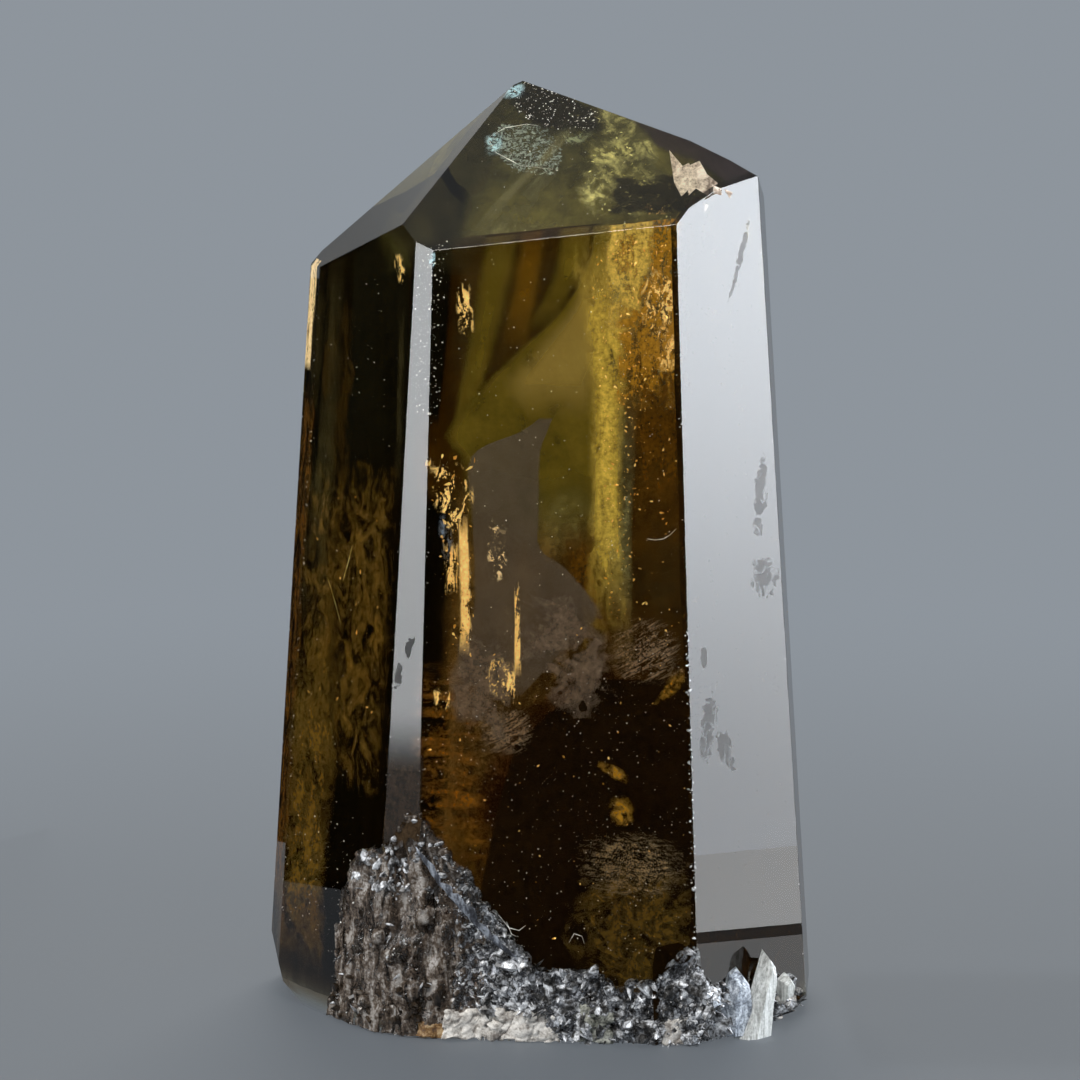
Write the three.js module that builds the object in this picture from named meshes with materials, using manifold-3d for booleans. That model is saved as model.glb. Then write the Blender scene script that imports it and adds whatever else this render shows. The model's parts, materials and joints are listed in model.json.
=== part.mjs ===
// Polished citrine point standing on its natural, druse-covered base.
// Millimetres, +Z up, the broad front facet looks towards -Y.

import * as THREE from 'three';
import { ConvexGeometry } from 'three/addons/geometries/ConvexGeometry.js';
import { mergeVertices } from 'three/addons/utils/BufferGeometryUtils.js';
import Module from 'manifold-3d';

const wasm = await Module();
wasm.setup();

const DEG = Math.PI / 180;

// ---- driving dimensions ----------------------------------------------------

const BASE_LEVEL = 0;

// Every facet is a flat plane: the way it faces (degrees round from the front,
// positive to the right), how far it leans back (degrees) and how far it lies
// from the foot of the crystal's axis (mm).
const PRISM_FACETS = {
  front: { faces: -2.9, leans: 3.2, reach: 31.8 },
  frontBevel: { faces: -30.8, leans: 3.5, reach: 36.15 },
  left: { faces: -53.6, leans: 3.9, reach: 36.35 },
  leftBevel: { faces: -71.4, leans: 4.1, reach: 41.45 },
  leftSide: { faces: -90, leans: 3.9, reach: 44.45 },
  backLeft: { faces: -133, leans: 3, reach: 36.8 },
  back: { faces: 179, leans: 2.8, reach: 36 },
  backRight: { faces: 140, leans: 3.2, reach: 34.8 },
  rightSide: { faces: 99, leans: 3.6, reach: 44.6 },
  rightBevel: { faces: 82, leans: 4, reach: 45.8 },
  right: { faces: 45.7, leans: 3.6, reach: 41.6 },
};

const POINT_FACETS = {
  pointLeft: { faces: -71.9, leans: 46.2, reach: 109.5 },
  pointFront: { faces: -9.1, leans: 46.4, reach: 107.7 },
  shoulderFront: { faces: 25.2, leans: 42.5, reach: 111.05 },
  shoulderRight: { faces: 38.8, leans: 33.9, reach: 100.9 },
  pointBackRight: { faces: 115.8, leans: 61.5, reach: 131.1 },
  pointBack: { faces: 172, leans: 61, reach: 132.1 },
  pointBackLeft: { faces: -138, leans: 44, reach: 105.6 },
};

// Chamfers round the foot; they lean outwards, so their lean is negative.
const FOOT_FACETS = {
  footLeftUpper: { faces: -84, leans: -14, reach: 39.9 },
  footLeftLower: { faces: -72, leans: -38, reach: 30.7 },
  footRight: { faces: 60, leans: -38, reach: 33.8 },
  footRightSide: { faces: 92, leans: -35, reach: 34.8 },
  footBackRight: { faces: 138, leans: -48, reach: 21.4 },
  footBack: { faces: 178, leans: -52, reach: 20.4 },
};

// Height of the upper limit of the natural, unpolished foot, met from the left
// to the right of the crystal: x, height (mm).
const NATURAL_LIMIT = [
  [-36, -6],
  [-33, 2],
  [-31, 20],
  [-28, 28],
  [-23, 31],
  [-18, 37],
  [-15, 33],
  [-9, 24],
  [-4, 17],
  [1, 11],
  [7, 12.5],
  [12, 9.5],
  [19, 10.5],
  [24, 15],
  [28, 10],
  [33, 7],
  [38, 8.5],
  [42, 6],
  [46, -4],
];

// The natural surface steps back from the polish by this much, by x (mm).
const NATURAL_STEP = [
  [-36, 0.2],
  [-28, 0.9],
  [-20, 2.4],
  [-8, 2.6],
  [2, 1.2],
  [20, 0.7],
  [46, 0.6],
];

const NATURAL_GRID = { left: -38, right: 48, bottom: -2, top: 40, pitch: 1.3, front: -60 };

// Small quartz points grown over the natural foot.
const DRUSE_COUNT = 34;
const DRUSE_RADIUS = { from: 0.7, to: 1.8 };
const DRUSE_LENGTH = { from: 2.4, to: 5.2 };
const DRUSE_LEFT = -27;
const DRUSE_RIGHT = 41;

// The single cream-coloured blade on the right of the foot.
const BLADE = { x: 34.6, y: -24.6, width: 5.2, thickness: 3.6, height: 11.6, faces: 38, tips: 9 };

// ---- helpers ---------------------------------------------------------------

function plane({ faces, leans, reach }) {
  const round = faces * DEG;
  const back = leans * DEG;
  const normal = new THREE.Vector3(
    Math.sin(round) * Math.cos(back),
    -Math.cos(round) * Math.cos(back),
    Math.sin(back),
  );
  return { normal, reach };
}

// Corners of the solid that lies behind all the planes.
function corners(planes) {
  const found = [];
  for (let i = 0; i < planes.length; i += 1) {
    for (let j = i + 1; j < planes.length; j += 1) {
      for (let k = j + 1; k < planes.length; k += 1) {
        const corner = meet(planes[i], planes[j], planes[k]);
        if (corner && planes.every((p) => p.normal.dot(corner) <= p.reach + 1e-6)) {
          found.push(corner);
        }
      }
    }
  }
  return found;
}

function meet(a, b, c) {
  const bc = b.normal.clone().cross(c.normal);
  const volume = a.normal.dot(bc);
  if (Math.abs(volume) < 1e-7) {
    return null;
  }
  const ca = c.normal.clone().cross(a.normal);
  const ab = a.normal.clone().cross(b.normal);
  return bc
    .multiplyScalar(a.reach)
    .add(ca.multiplyScalar(b.reach))
    .add(ab.multiplyScalar(c.reach))
    .divideScalar(volume);
}

// Value of a line given by [x, value] points, straight between them.
function along(points, x) {
  let [fromX, fromValue] = points[0];
  for (const [toX, toValue] of points) {
    if (x <= toX) {
      const share = toX > fromX ? (x - fromX) / (toX - fromX) : 1;
      return fromValue + (toValue - fromValue) * Math.max(0, share);
    }
    [fromX, fromValue] = [toX, toValue];
  }
  return fromValue;
}

// Repeatable number from 0 to 1 for a place in a sequence.
function scatter(index, salt) {
  const wave = Math.sin(index * 12.9898 + salt * 78.233) * 43758.5453;
  return wave - Math.floor(wave);
}

function between(range, share) {
  return range.from + (range.to - range.from) * share;
}

function toManifold(geometry) {
  const bare = new THREE.BufferGeometry();
  bare.setAttribute('position', geometry.getAttribute('position').clone());
  if (geometry.index) {
    bare.setIndex(geometry.index.clone());
  }
  const merged = mergeVertices(bare, 1e-4);
  const mesh = new wasm.Mesh({
    numProp: 3,
    vertProperties: Float32Array.from(merged.getAttribute('position').array),
    triVerts: Uint32Array.from(merged.index.array),
  });
  return new wasm.Manifold(mesh);
}

function toGeometry(solid) {
  const mesh = solid.getMesh();
  const geometry = new THREE.BufferGeometry();
  geometry.setAttribute('position', new THREE.BufferAttribute(mesh.vertProperties, 3));
  geometry.setIndex(new THREE.BufferAttribute(mesh.triVerts, 1));
  return geometry;
}

// ---- the crystal -----------------------------------------------------------

function polishedPlanes() {
  const facets = [PRISM_FACETS, POINT_FACETS, FOOT_FACETS].flatMap(Object.values);
  return facets.map(plane);
}

function polishedPoint() {
  const base = { normal: new THREE.Vector3(0, 0, -1), reach: BASE_LEVEL };
  return new ConvexGeometry(corners([...polishedPlanes(), base]));
}

// How far forward the polished prism reaches at a given x and height.
function polishedFront(x, z) {
  const facing = Object.values(PRISM_FACETS).filter((f) => Math.abs(f.faces) < 80);
  return Math.max(
    ...facing.map(plane).map((p) => (p.reach - p.normal.x * x - p.normal.z * z) / p.normal.y),
  );
}

// Uneven, columned relief of the natural surface (mm, about -1 to +1).
function relief(x, z) {
  const columns = Math.sin(1.45 * x + 0.12 * z) * Math.cos(0.31 * z + 0.5 * x);
  const lumps = Math.sin(0.8 * x - 0.9 * z + 1.7) * Math.cos(0.55 * x + 0.7 * z);
  const chips = Math.sin(2.6 * x + 1.9 * z) * Math.cos(2.1 * z - 1.2 * x);
  return 0.45 * columns + 0.4 * lumps + 0.3 * chips;
}

function naturalFront(x, z) {
  const below = along(NATURAL_LIMIT, x) + 1.2 * relief(x, 0.5 * x) - z;
  const step = along(NATURAL_STEP, x) * (1 - Math.exp(-below / 2));
  const sunk = below < 0 ? 0.6 * below : step + 0.6 * relief(x, z) * Math.min(1, below / 4) + 0.5;
  return polishedFront(x, z) + sunk;
}

// Everything in front of the natural surface, as one closed block.
function brokenAway() {
  const { left, right, bottom, top, pitch, front } = NATURAL_GRID;
  const across = Math.round((right - left) / pitch);
  const up = Math.round((top - bottom) / pitch);
  const row = across + 1;
  const sheet = row * (up + 1);
  const places = [];
  for (const inFront of [false, true]) {
    for (let j = 0; j <= up; j += 1) {
      for (let i = 0; i <= across; i += 1) {
        const x = left + i * pitch;
        const z = bottom + j * pitch;
        places.push(x, inFront ? front : naturalFront(x, z), z);
      }
    }
  }
  const faces = [];
  const quad = (a, b, c, d) => faces.push(a, b, c, a, c, d);
  for (let j = 0; j < up; j += 1) {
    for (let i = 0; i < across; i += 1) {
      const a = j * row + i;
      quad(a, a + row, a + row + 1, a + 1);
      quad(sheet + a, sheet + a + 1, sheet + a + row + 1, sheet + a + row);
    }
  }
  for (let i = 0; i < across; i += 1) {
    const high = up * row + i;
    quad(i, i + 1, sheet + i + 1, sheet + i);
    quad(high + 1, high, sheet + high, sheet + high + 1);
  }
  for (let j = 0; j < up; j += 1) {
    const near = j * row;
    const far = near + across;
    quad(near + row, near, sheet + near, sheet + near + row);
    quad(far, far + row, sheet + far + row, sheet + far);
  }
  const block = new THREE.BufferGeometry();
  block.setAttribute('position', new THREE.Float32BufferAttribute(places, 3));
  block.setIndex(faces);
  return block;
}

// Six-sided quartz point lying along +Z, its root a little below zero.
function smallPoint(radius, length) {
  const shaft = [0, 1, 2, 3, 4, 5].flatMap((side) => {
    const turn = side * 60 * DEG;
    const x = Math.cos(turn) * radius;
    const y = Math.sin(turn) * radius;
    return [
      new THREE.Vector3(x, y, -0.5 * length),
      new THREE.Vector3(x, y, length - 1.1 * radius),
    ];
  });
  return new ConvexGeometry([...shaft, new THREE.Vector3(0.1 * radius, 0, length)]);
}

function drusePoint(index) {
  const x = DRUSE_LEFT + ((DRUSE_RIGHT - DRUSE_LEFT) * (index + 0.5)) / DRUSE_COUNT;
  const limit = Math.max(2, along(NATURAL_LIMIT, x));
  const z = 0.8 + (limit - 3.5) * scatter(index, 1) * 0.7;
  const radius = between(DRUSE_RADIUS, scatter(index, 2));
  const length = between(DRUSE_LENGTH, scatter(index, 3));
  const point = smallPoint(radius, length);
  const outwards = new THREE.Vector3(
    0.5 * (scatter(index, 4) - 0.5) + 0.012 * x,
    -0.85,
    0.25 + 0.9 * scatter(index, 5),
  ).normalize();
  const turn = new THREE.Quaternion().setFromUnitVectors(new THREE.Vector3(0, 0, 1), outwards);
  point.applyQuaternion(turn);
  const root = naturalFront(x, z) + 0.45 * length;
  point.translate(x, root, z);
  return point;
}

function blade() {
  const { x, y, width, thickness, height, faces, tips } = BLADE;
  const half = width / 2;
  const outline = [
    [-half, -1],
    [half, -1],
    [half * 0.9, height * 0.8],
    [half * 0.25, height],
    [-half * 0.35, height * 0.82],
  ];
  const places = outline.flatMap(([across, up]) => [
    new THREE.Vector3(across, -thickness / 2 + 0.05 * up, up),
    new THREE.Vector3(across, thickness / 2, up),
  ]);
  const crystal = new ConvexGeometry(places);
  crystal.rotateY(tips * DEG);
  crystal.rotateZ(faces * DEG);
  crystal.translate(x, y, 0);
  return crystal;
}

function aboveGround(solid) {
  const size = 200;
  const block = new THREE.BoxGeometry(size, size, size);
  block.translate(0, 0, size / 2 + BASE_LEVEL);
  return solid.intersect(toManifold(block));
}

function crystalPoint() {
  let solid = toManifold(polishedPoint()).subtract(toManifold(brokenAway()));
  for (let index = 0; index < DRUSE_COUNT; index += 1) {
    solid = solid.add(toManifold(drusePoint(index)));
  }
  solid = solid.add(toManifold(blade()));
  return toGeometry(aboveGround(solid));
}

// ---- materials and assembly ------------------------------------------------

function smokyCitrine() {
  return new THREE.MeshStandardMaterial({ color: 0x6b4a16, roughness: 0.08, metalness: 0 });
}

function centreOnFoot(geometry) {
  geometry.computeBoundingBox();
  const { min, max } = geometry.boundingBox;
  geometry.translate(-(min.x + max.x) / 2, -(min.y + max.y) / 2, -min.z);
  return geometry;
}

const crystal = new THREE.Mesh(centreOnFoot(crystalPoint()), smokyCitrine());
crystal.name = 'crystal_point';

const group = new THREE.Group();
group.name = 'citrine_point';
group.add(crystal);

export default group;
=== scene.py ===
"""Looks of a polished smoky-citrine point standing on its natural, druse-covered foot."""

import json
import logging
import math
from dataclasses import dataclass, field
from enum import Enum

import bmesh
import bpy

from mathutils import Matrix, Vector, noise

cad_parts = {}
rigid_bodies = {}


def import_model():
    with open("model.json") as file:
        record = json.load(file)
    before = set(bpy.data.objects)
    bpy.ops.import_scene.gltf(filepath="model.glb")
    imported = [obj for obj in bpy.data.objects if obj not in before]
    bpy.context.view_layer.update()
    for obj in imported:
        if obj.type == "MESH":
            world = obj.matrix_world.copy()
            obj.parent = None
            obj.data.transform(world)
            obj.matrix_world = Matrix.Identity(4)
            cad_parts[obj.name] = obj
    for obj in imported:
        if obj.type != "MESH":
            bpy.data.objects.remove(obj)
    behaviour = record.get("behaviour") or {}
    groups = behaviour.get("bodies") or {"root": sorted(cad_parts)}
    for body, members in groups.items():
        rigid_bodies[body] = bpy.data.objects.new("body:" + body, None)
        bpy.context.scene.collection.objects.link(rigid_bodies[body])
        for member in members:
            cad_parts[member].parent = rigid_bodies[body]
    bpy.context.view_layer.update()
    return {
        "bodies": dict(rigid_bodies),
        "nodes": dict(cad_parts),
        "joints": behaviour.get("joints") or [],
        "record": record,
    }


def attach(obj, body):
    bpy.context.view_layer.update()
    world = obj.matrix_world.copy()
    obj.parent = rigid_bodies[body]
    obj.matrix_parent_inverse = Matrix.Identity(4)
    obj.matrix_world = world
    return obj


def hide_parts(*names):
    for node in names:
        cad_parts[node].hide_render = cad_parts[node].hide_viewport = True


LOG = logging.getLogger("citrine_point")
MM = 0.001


# ---- shader maths ----


class Value:
    """A float socket that takes part in Python arithmetic by adding Math nodes."""

    def __init__(self, sheet: "NodeSheet", socket: object) -> None:
        """Wraps a socket.

        Args:
            sheet: the node sheet the socket belongs to.
            socket: an output socket that carries a float.
        """
        self.sheet = sheet
        self.socket = socket

    def _math(self, operation: str, *values: object, clamp: bool = False) -> "Value":
        """Adds one Math node.

        Args:
            operation: the Math node's operation.
            values: its inputs, in order.
            clamp: whether the result is kept between 0 and 1.

        Returns:
            The node's result.
        """
        sockets = {index: value for index, value in enumerate(values)}
        settings = {"operation": operation, "use_clamp": clamp}
        return self.sheet.node("ShaderNodeMath", settings, sockets)

    def __add__(self, other: object) -> "Value":
        """Sum."""
        return self._math("ADD", self, other)

    def __radd__(self, other: object) -> "Value":
        """Sum, reflected."""
        return self._math("ADD", other, self)

    def __sub__(self, other: object) -> "Value":
        """Difference."""
        return self._math("SUBTRACT", self, other)

    def __rsub__(self, other: object) -> "Value":
        """Difference, reflected."""
        return self._math("SUBTRACT", other, self)

    def __mul__(self, other: object) -> "Value":
        """Product."""
        return self._math("MULTIPLY", self, other)

    def __rmul__(self, other: object) -> "Value":
        """Product, reflected."""
        return self._math("MULTIPLY", other, self)

    def __truediv__(self, other: object) -> "Value":
        """Quotient."""
        return self._math("DIVIDE", self, other)

    def __pow__(self, other: object) -> "Value":
        """Power."""
        return self._math("POWER", self, other)

    def clamped(self) -> "Value":
        """The value kept between 0 and 1."""
        return self._math("ADD", self, 0.0, clamp=True)

    def lower(self, other: object) -> "Value":
        """The smaller of two values."""
        return self._math("MINIMUM", self, other)

    def higher(self, other: object) -> "Value":
        """The larger of two values."""
        return self._math("MAXIMUM", self, other)

    def steps(self, start: float, end: float) -> "Value":
        """A smooth rise from 0 at start to 1 at end.

        Args:
            start: the value where the rise starts.
            end: the value where it ends; it may be below start.

        Returns:
            The share of the rise.
        """
        settings = {"interpolation_type": "SMOOTHSTEP", "clamp": True}
        if start <= end:
            sockets = {"Value": self, "From Min": start, "From Max": end}
            return self.sheet.node("ShaderNodeMapRange", settings, sockets)
        sockets = {"Value": self, "From Min": end, "From Max": start, "To Min": 1.0, "To Max": 0.0}
        return self.sheet.node("ShaderNodeMapRange", settings, sockets)


class NodeSheet:
    """Builds the nodes of one material, world or geometry tree."""

    def __init__(self, tree: bpy.types.NodeTree, end: str = "") -> None:
        """Clears the tree.

        Args:
            tree: the tree that the nodes go into.
            end: the type of its output node, for a material or a world.
        """
        self.tree = tree
        tree.nodes.clear()
        self.end = self.raw(end) if end else None

    def plug(self, socket: object, value: object) -> None:
        """Links or sets one input socket.

        Args:
            socket: the input socket.
            value: a Value, an output socket, or a plain number, colour or vector.
        """
        if isinstance(value, Value):
            self.tree.links.new(value.socket, socket)
        elif isinstance(value, bpy.types.NodeSocket):
            self.tree.links.new(value, socket)
        else:
            socket.default_value = value

    def raw(self, kind: str, settings: dict | None = None, sockets: dict | None = None) -> object:
        """Adds a node.

        Args:
            kind: the node's type.
            settings: attributes set before the sockets; "stops" fills a colour ramp.
            sockets: values or links by socket name or index.

        Returns:
            The node.
        """
        node = self.tree.nodes.new(kind)
        for name, value in (settings or {}).items():
            if name == "stops":
                self._fill_ramp(node.color_ramp, value)
            else:
                setattr(node, name, value)
        for key, value in (sockets or {}).items():
            self.plug(node.inputs[key], value)
        return node

    def _fill_ramp(self, ramp: object, stops: list[tuple[float, tuple]]) -> None:
        """Writes a colour ramp's stops.

        Args:
            ramp: the ramp.
            stops: positions and colours.
        """
        while len(ramp.elements) < len(stops):
            ramp.elements.new(1.0)
        for element, (position, colour) in zip(ramp.elements, stops):
            element.position = position
            element.color = (*colour, 1.0) if len(colour) == 3 else colour

    def node(self, kind: str, settings: dict | None = None, sockets: dict | None = None) -> Value:
        """Adds a node and gives its first output as a Value."""
        return Value(self, self.raw(kind, settings, sockets).outputs[0])

    def shade(self, kind: str, sockets: dict, slot: str = "Surface") -> None:
        """Adds a shader node and links it to the output's Surface or Volume."""
        self.plug(self.end.inputs[slot], self.raw(kind, None, sockets).outputs[0])

    def clear(self, rough: object, ior: float, absorbed: tuple, density: float) -> None:
        """Shades a clear body that soaks up light on the way through.

        Args:
            rough: its surface's roughness.
            ior: how strongly it bends light.
            absorbed: the colour that it leaves.
            density: how strongly it soaks up the rest.
        """
        body = {"Base Color": (1, 1, 1, 1), "Roughness": rough, "IOR": ior, "Transmission Weight": 1.0}
        self.shade("ShaderNodeBsdfPrincipled", body)
        self.shade("ShaderNodeVolumeAbsorption", {"Color": absorbed, "Density": density}, "Volume")

    def place(self) -> object:
        """The Object coordinates."""
        return self.raw("ShaderNodeTexCoord").outputs["Object"]

    def spread(self, size: tuple[float, float, float], lean: float = 0.0) -> object:
        """Object coordinates, measured in units of a pattern's size.

        Args:
            size: size of the pattern's patches along each axis (mm).
            lean: how far the pattern leans to the right (degrees).

        Returns:
            The vector socket.
        """
        sockets = {
            "Vector": self.place(),
            "Scale": tuple(length * MM for length in size),
            "Rotation": (0, math.radians(lean), 0),
        }
        return self.raw("ShaderNodeMapping", {"vector_type": "TEXTURE"}, sockets).outputs[0]

    def noise(self, vector: object, detail: float = 4.0, rough: float = 0.55, warp: float = 0.0) -> Value:
        """Fractal noise of about 0.3 to 0.7 on a stretched vector."""
        sockets = {"Vector": vector, "Scale": 1.0, "Detail": detail, "Roughness": rough, "Distortion": warp}
        return self.node("ShaderNodeTexNoise", {"noise_dimensions": "3D"}, sockets)

    def ramp(self, value: object, stops: list[tuple[float, tuple]]) -> object:
        """A colour ramp's colour."""
        return self.raw("ShaderNodeValToRGB", {"stops": stops}, {"Fac": value}).outputs["Color"]

    def blend(self, share: object, low: object, high: object) -> object:
        """A mix of two colours."""
        sockets = {0: share, 6: low, 7: high}
        return self.raw("ShaderNodeMix", {"data_type": "RGBA"}, sockets).outputs[2]


def new_material(name: str) -> tuple[bpy.types.Material, NodeSheet]:
    """Makes a node material that has nothing but its output.

    Args:
        name: the material's name.

    Returns:
        The material and its sheet.
    """
    material = bpy.data.materials.new(name)
    material.use_nodes = True
    return material, NodeSheet(material.node_tree, "ShaderNodeOutputMaterial")


# ---- facets ----

Colour = tuple[float, float, float]
Rows = list[tuple[float, float, float, float]]
RESTING = -0.98
DOWNWARDS = -0.9


@dataclass(frozen=True)
class Facet:
    """A flat face of the crystal: the way it faces, how far it leans back, and its reach."""

    faces: float
    leans: float
    reach: float

    @property
    def normal(self) -> Vector:
        """The way out of the crystal."""
        round_, back = math.radians(self.faces), math.radians(self.leans)
        level = math.cos(back)
        return Vector((math.sin(round_) * level, -math.cos(round_) * level, math.sin(back)))

    @property
    def along(self) -> Vector:
        """The level direction in the facet, to the right as seen from outside."""
        round_ = math.radians(self.faces)
        return Vector((math.cos(round_), math.sin(round_), 0.0))

    def inset(self, depth: float) -> "Facet":
        """A parallel plane further in (mm)."""
        return Facet(self.faces, self.leans, self.reach - depth)

    def behind(self, across: float, up: float, depth: float) -> Vector:
        """A place inside the crystal.

        Args:
            across: distance along the facet from the crystal's axis (mm).
            up: height above the foot (mm).
            depth: distance below the facet (mm).

        Returns:
            The place in metres.
        """
        normal, along = self.normal, self.along
        level = Vector((normal.x, normal.y, 0.0)).normalized()
        outwards = (self.reach - depth - up * normal.z) / (normal.x * level.x + normal.y * level.y)
        return (along * across + level * outwards + Vector((0, 0, up))) * MM

    def meets(self, other: "Facet", up: float) -> Vector:
        """Where the edge with another facet passes a height.

        Args:
            other: the other facet.
            up: the height (mm).

        Returns:
            The place in metres.
        """
        a, b = self.normal, other.normal
        across = a.x * b.y - a.y * b.x
        left, right = self.reach - a.z * up, other.reach - b.z * up
        return Vector(((left * b.y - right * a.y) / across, (a.x * right - b.x * left) / across, up)) * MM


class Side(Enum):
    """The facets that the inner features are measured from."""

    FRONT = Facet(-2.9, 3.2, 33.4)
    FRONT_BEVEL = Facet(-30.8, 3.5, 37.89)
    LEFT = Facet(-53.6, 3.9, 37.9)
    LEFT_BEVEL = Facet(-71.4, 4.1, 42.68)
    LEFT_SIDE = Facet(-90.0, 3.9, 45.22)
    BACK_LEFT = Facet(-133.0, 3.0, 36.3)
    BACK = Facet(179.0, 2.8, 34.42)
    BACK_RIGHT = Facet(140.0, 3.2, 33.1)
    RIGHT_SIDE = Facet(99.0, 3.6, 43.6)
    RIGHT_BEVEL = Facet(82.0, 4.0, 45.26)
    RIGHT = Facet(45.7, 3.6, 42.14)
    POINT_FRONT = Facet(-9.1, 46.4, 108.85)
    POINT_LEFT = Facet(-71.9, 46.2, 110.34)
    POINT_RIGHT = Facet(115.8, 61.5, 130.44)
    POINT_BACK = Facet(172.0, 61.0, 131.29)
    POINT_BACK_LEFT = Facet(-138.0, 44.0, 105.13)
    SHOULDER_FRONT = Facet(25.2, 42.5, 111.86)
    SHOULDER_RIGHT = Facet(38.8, 33.9, 101.5)
    FOOT_LEFT_UPPER = Facet(-84.0, -14.0, 40.8)
    FOOT_LEFT_LOWER = Facet(-72.0, -38.0, 31.66)
    FOOT_RIGHT = Facet(60.0, -38.0, 33.89)
    FOOT_RIGHT_SIDE = Facet(92.0, -35.0, 34.12)
    FOOT_BACK_RIGHT = Facet(138.0, -48.0, 20.27)
    FOOT_BACK = Facet(178.0, -52.0, 19.42)


# ---- finishes ----


@dataclass(frozen=True)
class DullPatch:
    """A patch where the polish is worn: its facet, middle, half sizes (mm) and lean (degrees)."""

    side: Side
    across: float
    up: float
    wide: float
    tall: float
    lean: float = 0.0


@dataclass(frozen=True)
class SmokyCitrine:
    """Clear polished quartz that darkens from olive-gold to brown with depth."""

    ior: float = 1.544
    absorbed: tuple[float, float, float, float] = (0.80, 0.685, 0.10, 1.0)
    density: float = 36.0
    foot_rough: float = 0.10
    worn_rough: float = 0.5
    worn: tuple[DullPatch, ...] = (
        DullPatch(Side.RIGHT, 9.6, 122.0, 0.6, 6.0, 24.0),
        DullPatch(Side.RIGHT, 12.4, 84.6, 1.5, 6.2, 10.0),
        DullPatch(Side.RIGHT, 12.4, 71.8, 3.2, 2.9, 0.0),
        DullPatch(Side.RIGHT, -2.0, 50.5, 1.7, 5.6, 14.0),
        DullPatch(Side.RIGHT, 1.6, 46.0, 1.5, 3.6, -20.0),
        DullPatch(Side.RIGHT, -2.6, 60.8, 0.8, 1.7, 0.0),
        DullPatch(Side.FRONT_BEVEL, -3.1, 62.4, 0.75, 1.7, 12.0),
        DullPatch(Side.FRONT_BEVEL, -4.8, 57.8, 0.75, 2.1, 10.0),
    )

    def _wear(self, sheet: NodeSheet) -> Value:
        """Where the polish is worn: ragged patches, 1 in their middle."""
        place = sheet.place()
        parts = sheet.raw("ShaderNodeSeparateXYZ", None, {0: place})
        x, y, z = (Value(sheet, parts.outputs[i]) * 1000.0 for i in range(3))
        ragged = (sheet.noise(sheet.spread((2.2, 2.2, 3.2)), 7.0, 0.75, 1.2) - 0.5) * 7.5
        worn = None
        for patch in self.worn:
            facet = patch.side.value
            turn = math.radians(patch.lean)
            along, normal = facet.along, facet.normal
            across = x * along.x + y * along.y - patch.across
            up = z - patch.up
            over = (across * math.cos(turn) + up * -math.sin(turn)) / patch.wide
            high = (across * math.sin(turn) + up * math.cos(turn)) / patch.tall
            below = x * normal.x + y * normal.y + z * normal.z - facet.reach
            here = 1.0 - (over * over + high * high) + ragged - below * below * 4.0
            worn = here if worn is None else worn.higher(here)
        return worn.steps(0.0, 0.35)

    def material(self) -> bpy.types.Material:
        """Builds the finish."""
        material, sheet = new_material("smoky_citrine_polish")
        natural = sheet.raw("ShaderNodeAttribute", {"attribute_name": "natural"})
        natural = Value(sheet, natural.outputs["Fac"])
        rough = (natural * self.foot_rough).higher(self._wear(sheet) * self.worn_rough)
        sheet.clear(rough, self.ior, self.absorbed, self.density)
        return material


@dataclass(frozen=True)
class ZoneFinish:
    """An inner growth zone that only soaks up more light than the quartz round it."""

    name: str
    absorbed: tuple[float, float, float, float]
    density: float

    def material(self) -> bpy.types.Material:
        """Builds the finish."""
        material, sheet = new_material(self.name)
        sheet.clear(0.0, 1.0, self.absorbed, self.density)
        return material


@dataclass(frozen=True)
class VeilFinish:
    """A cloudy film of fine bubbles and flecks: clear where its pattern is thin."""

    name: str
    dark: Colour
    light: Colour
    patch: tuple[float, float, float]
    grain: float
    cover: tuple[float, float]
    # How strongly the film glows in its own colour: painted light.
    painted_glow: float = 0.45
    most: float = 0.95
    edge: float = 0.3
    ragged: float = 0.5
    warp: float = 0.6
    lean: float = 0.0
    speckle: float = 0.7
    metal: float = 0.0
    oval: bool = False

    def material(self) -> bpy.types.Material:
        """Builds the finish once, or gives the one that is already there."""
        if self.name in bpy.data.materials:
            return bpy.data.materials[self.name]
        material, sheet = new_material(self.name)
        uv = sheet.raw("ShaderNodeSeparateXYZ", None, {0: sheet.raw("ShaderNodeUVMap").outputs[0]})
        u, v = Value(sheet, uv.outputs[0]), Value(sheet, uv.outputs[1])
        patches = sheet.noise(sheet.spread(self.patch, self.lean), 6.0, 0.62, self.warp)
        fine = sheet.noise(sheet.spread((self.grain,) * 3), 5.0, 0.7)
        inset = u.lower(1 - u).lower(v).lower(1 - v)
        if self.oval:
            inset = 0.5 - ((u - 0.5) * (u - 0.5) + (v - 0.5) * (v - 0.5)) ** 0.5
        inset = inset + (patches - 0.5) * self.ragged
        rim = inset.steps(0.0, self.edge)
        cover = (patches + (fine - 0.5) * self.speckle).steps(*self.cover)
        alpha = (cover * rim * self.most).clamped()
        tone = (fine * 1.6 - 0.3 + (patches - 0.5) * 0.8).clamped()
        colour = sheet.blend(tone, (*self.dark, 1), (*self.light, 1))
        sockets = {
            "Base Color": colour,
            "Roughness": 0.6,
            "Metallic": self.metal,
            "Alpha": alpha,
            # The film glows in its own colour: painted light standing in for the light that reaches it
            # through the crystal.
            "Emission Color": colour,
            "Emission Strength": self.painted_glow,
            "Specular IOR Level": 0.0,
        }
        sheet.shade("ShaderNodeBsdfPrincipled", sockets)
        return material


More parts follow.
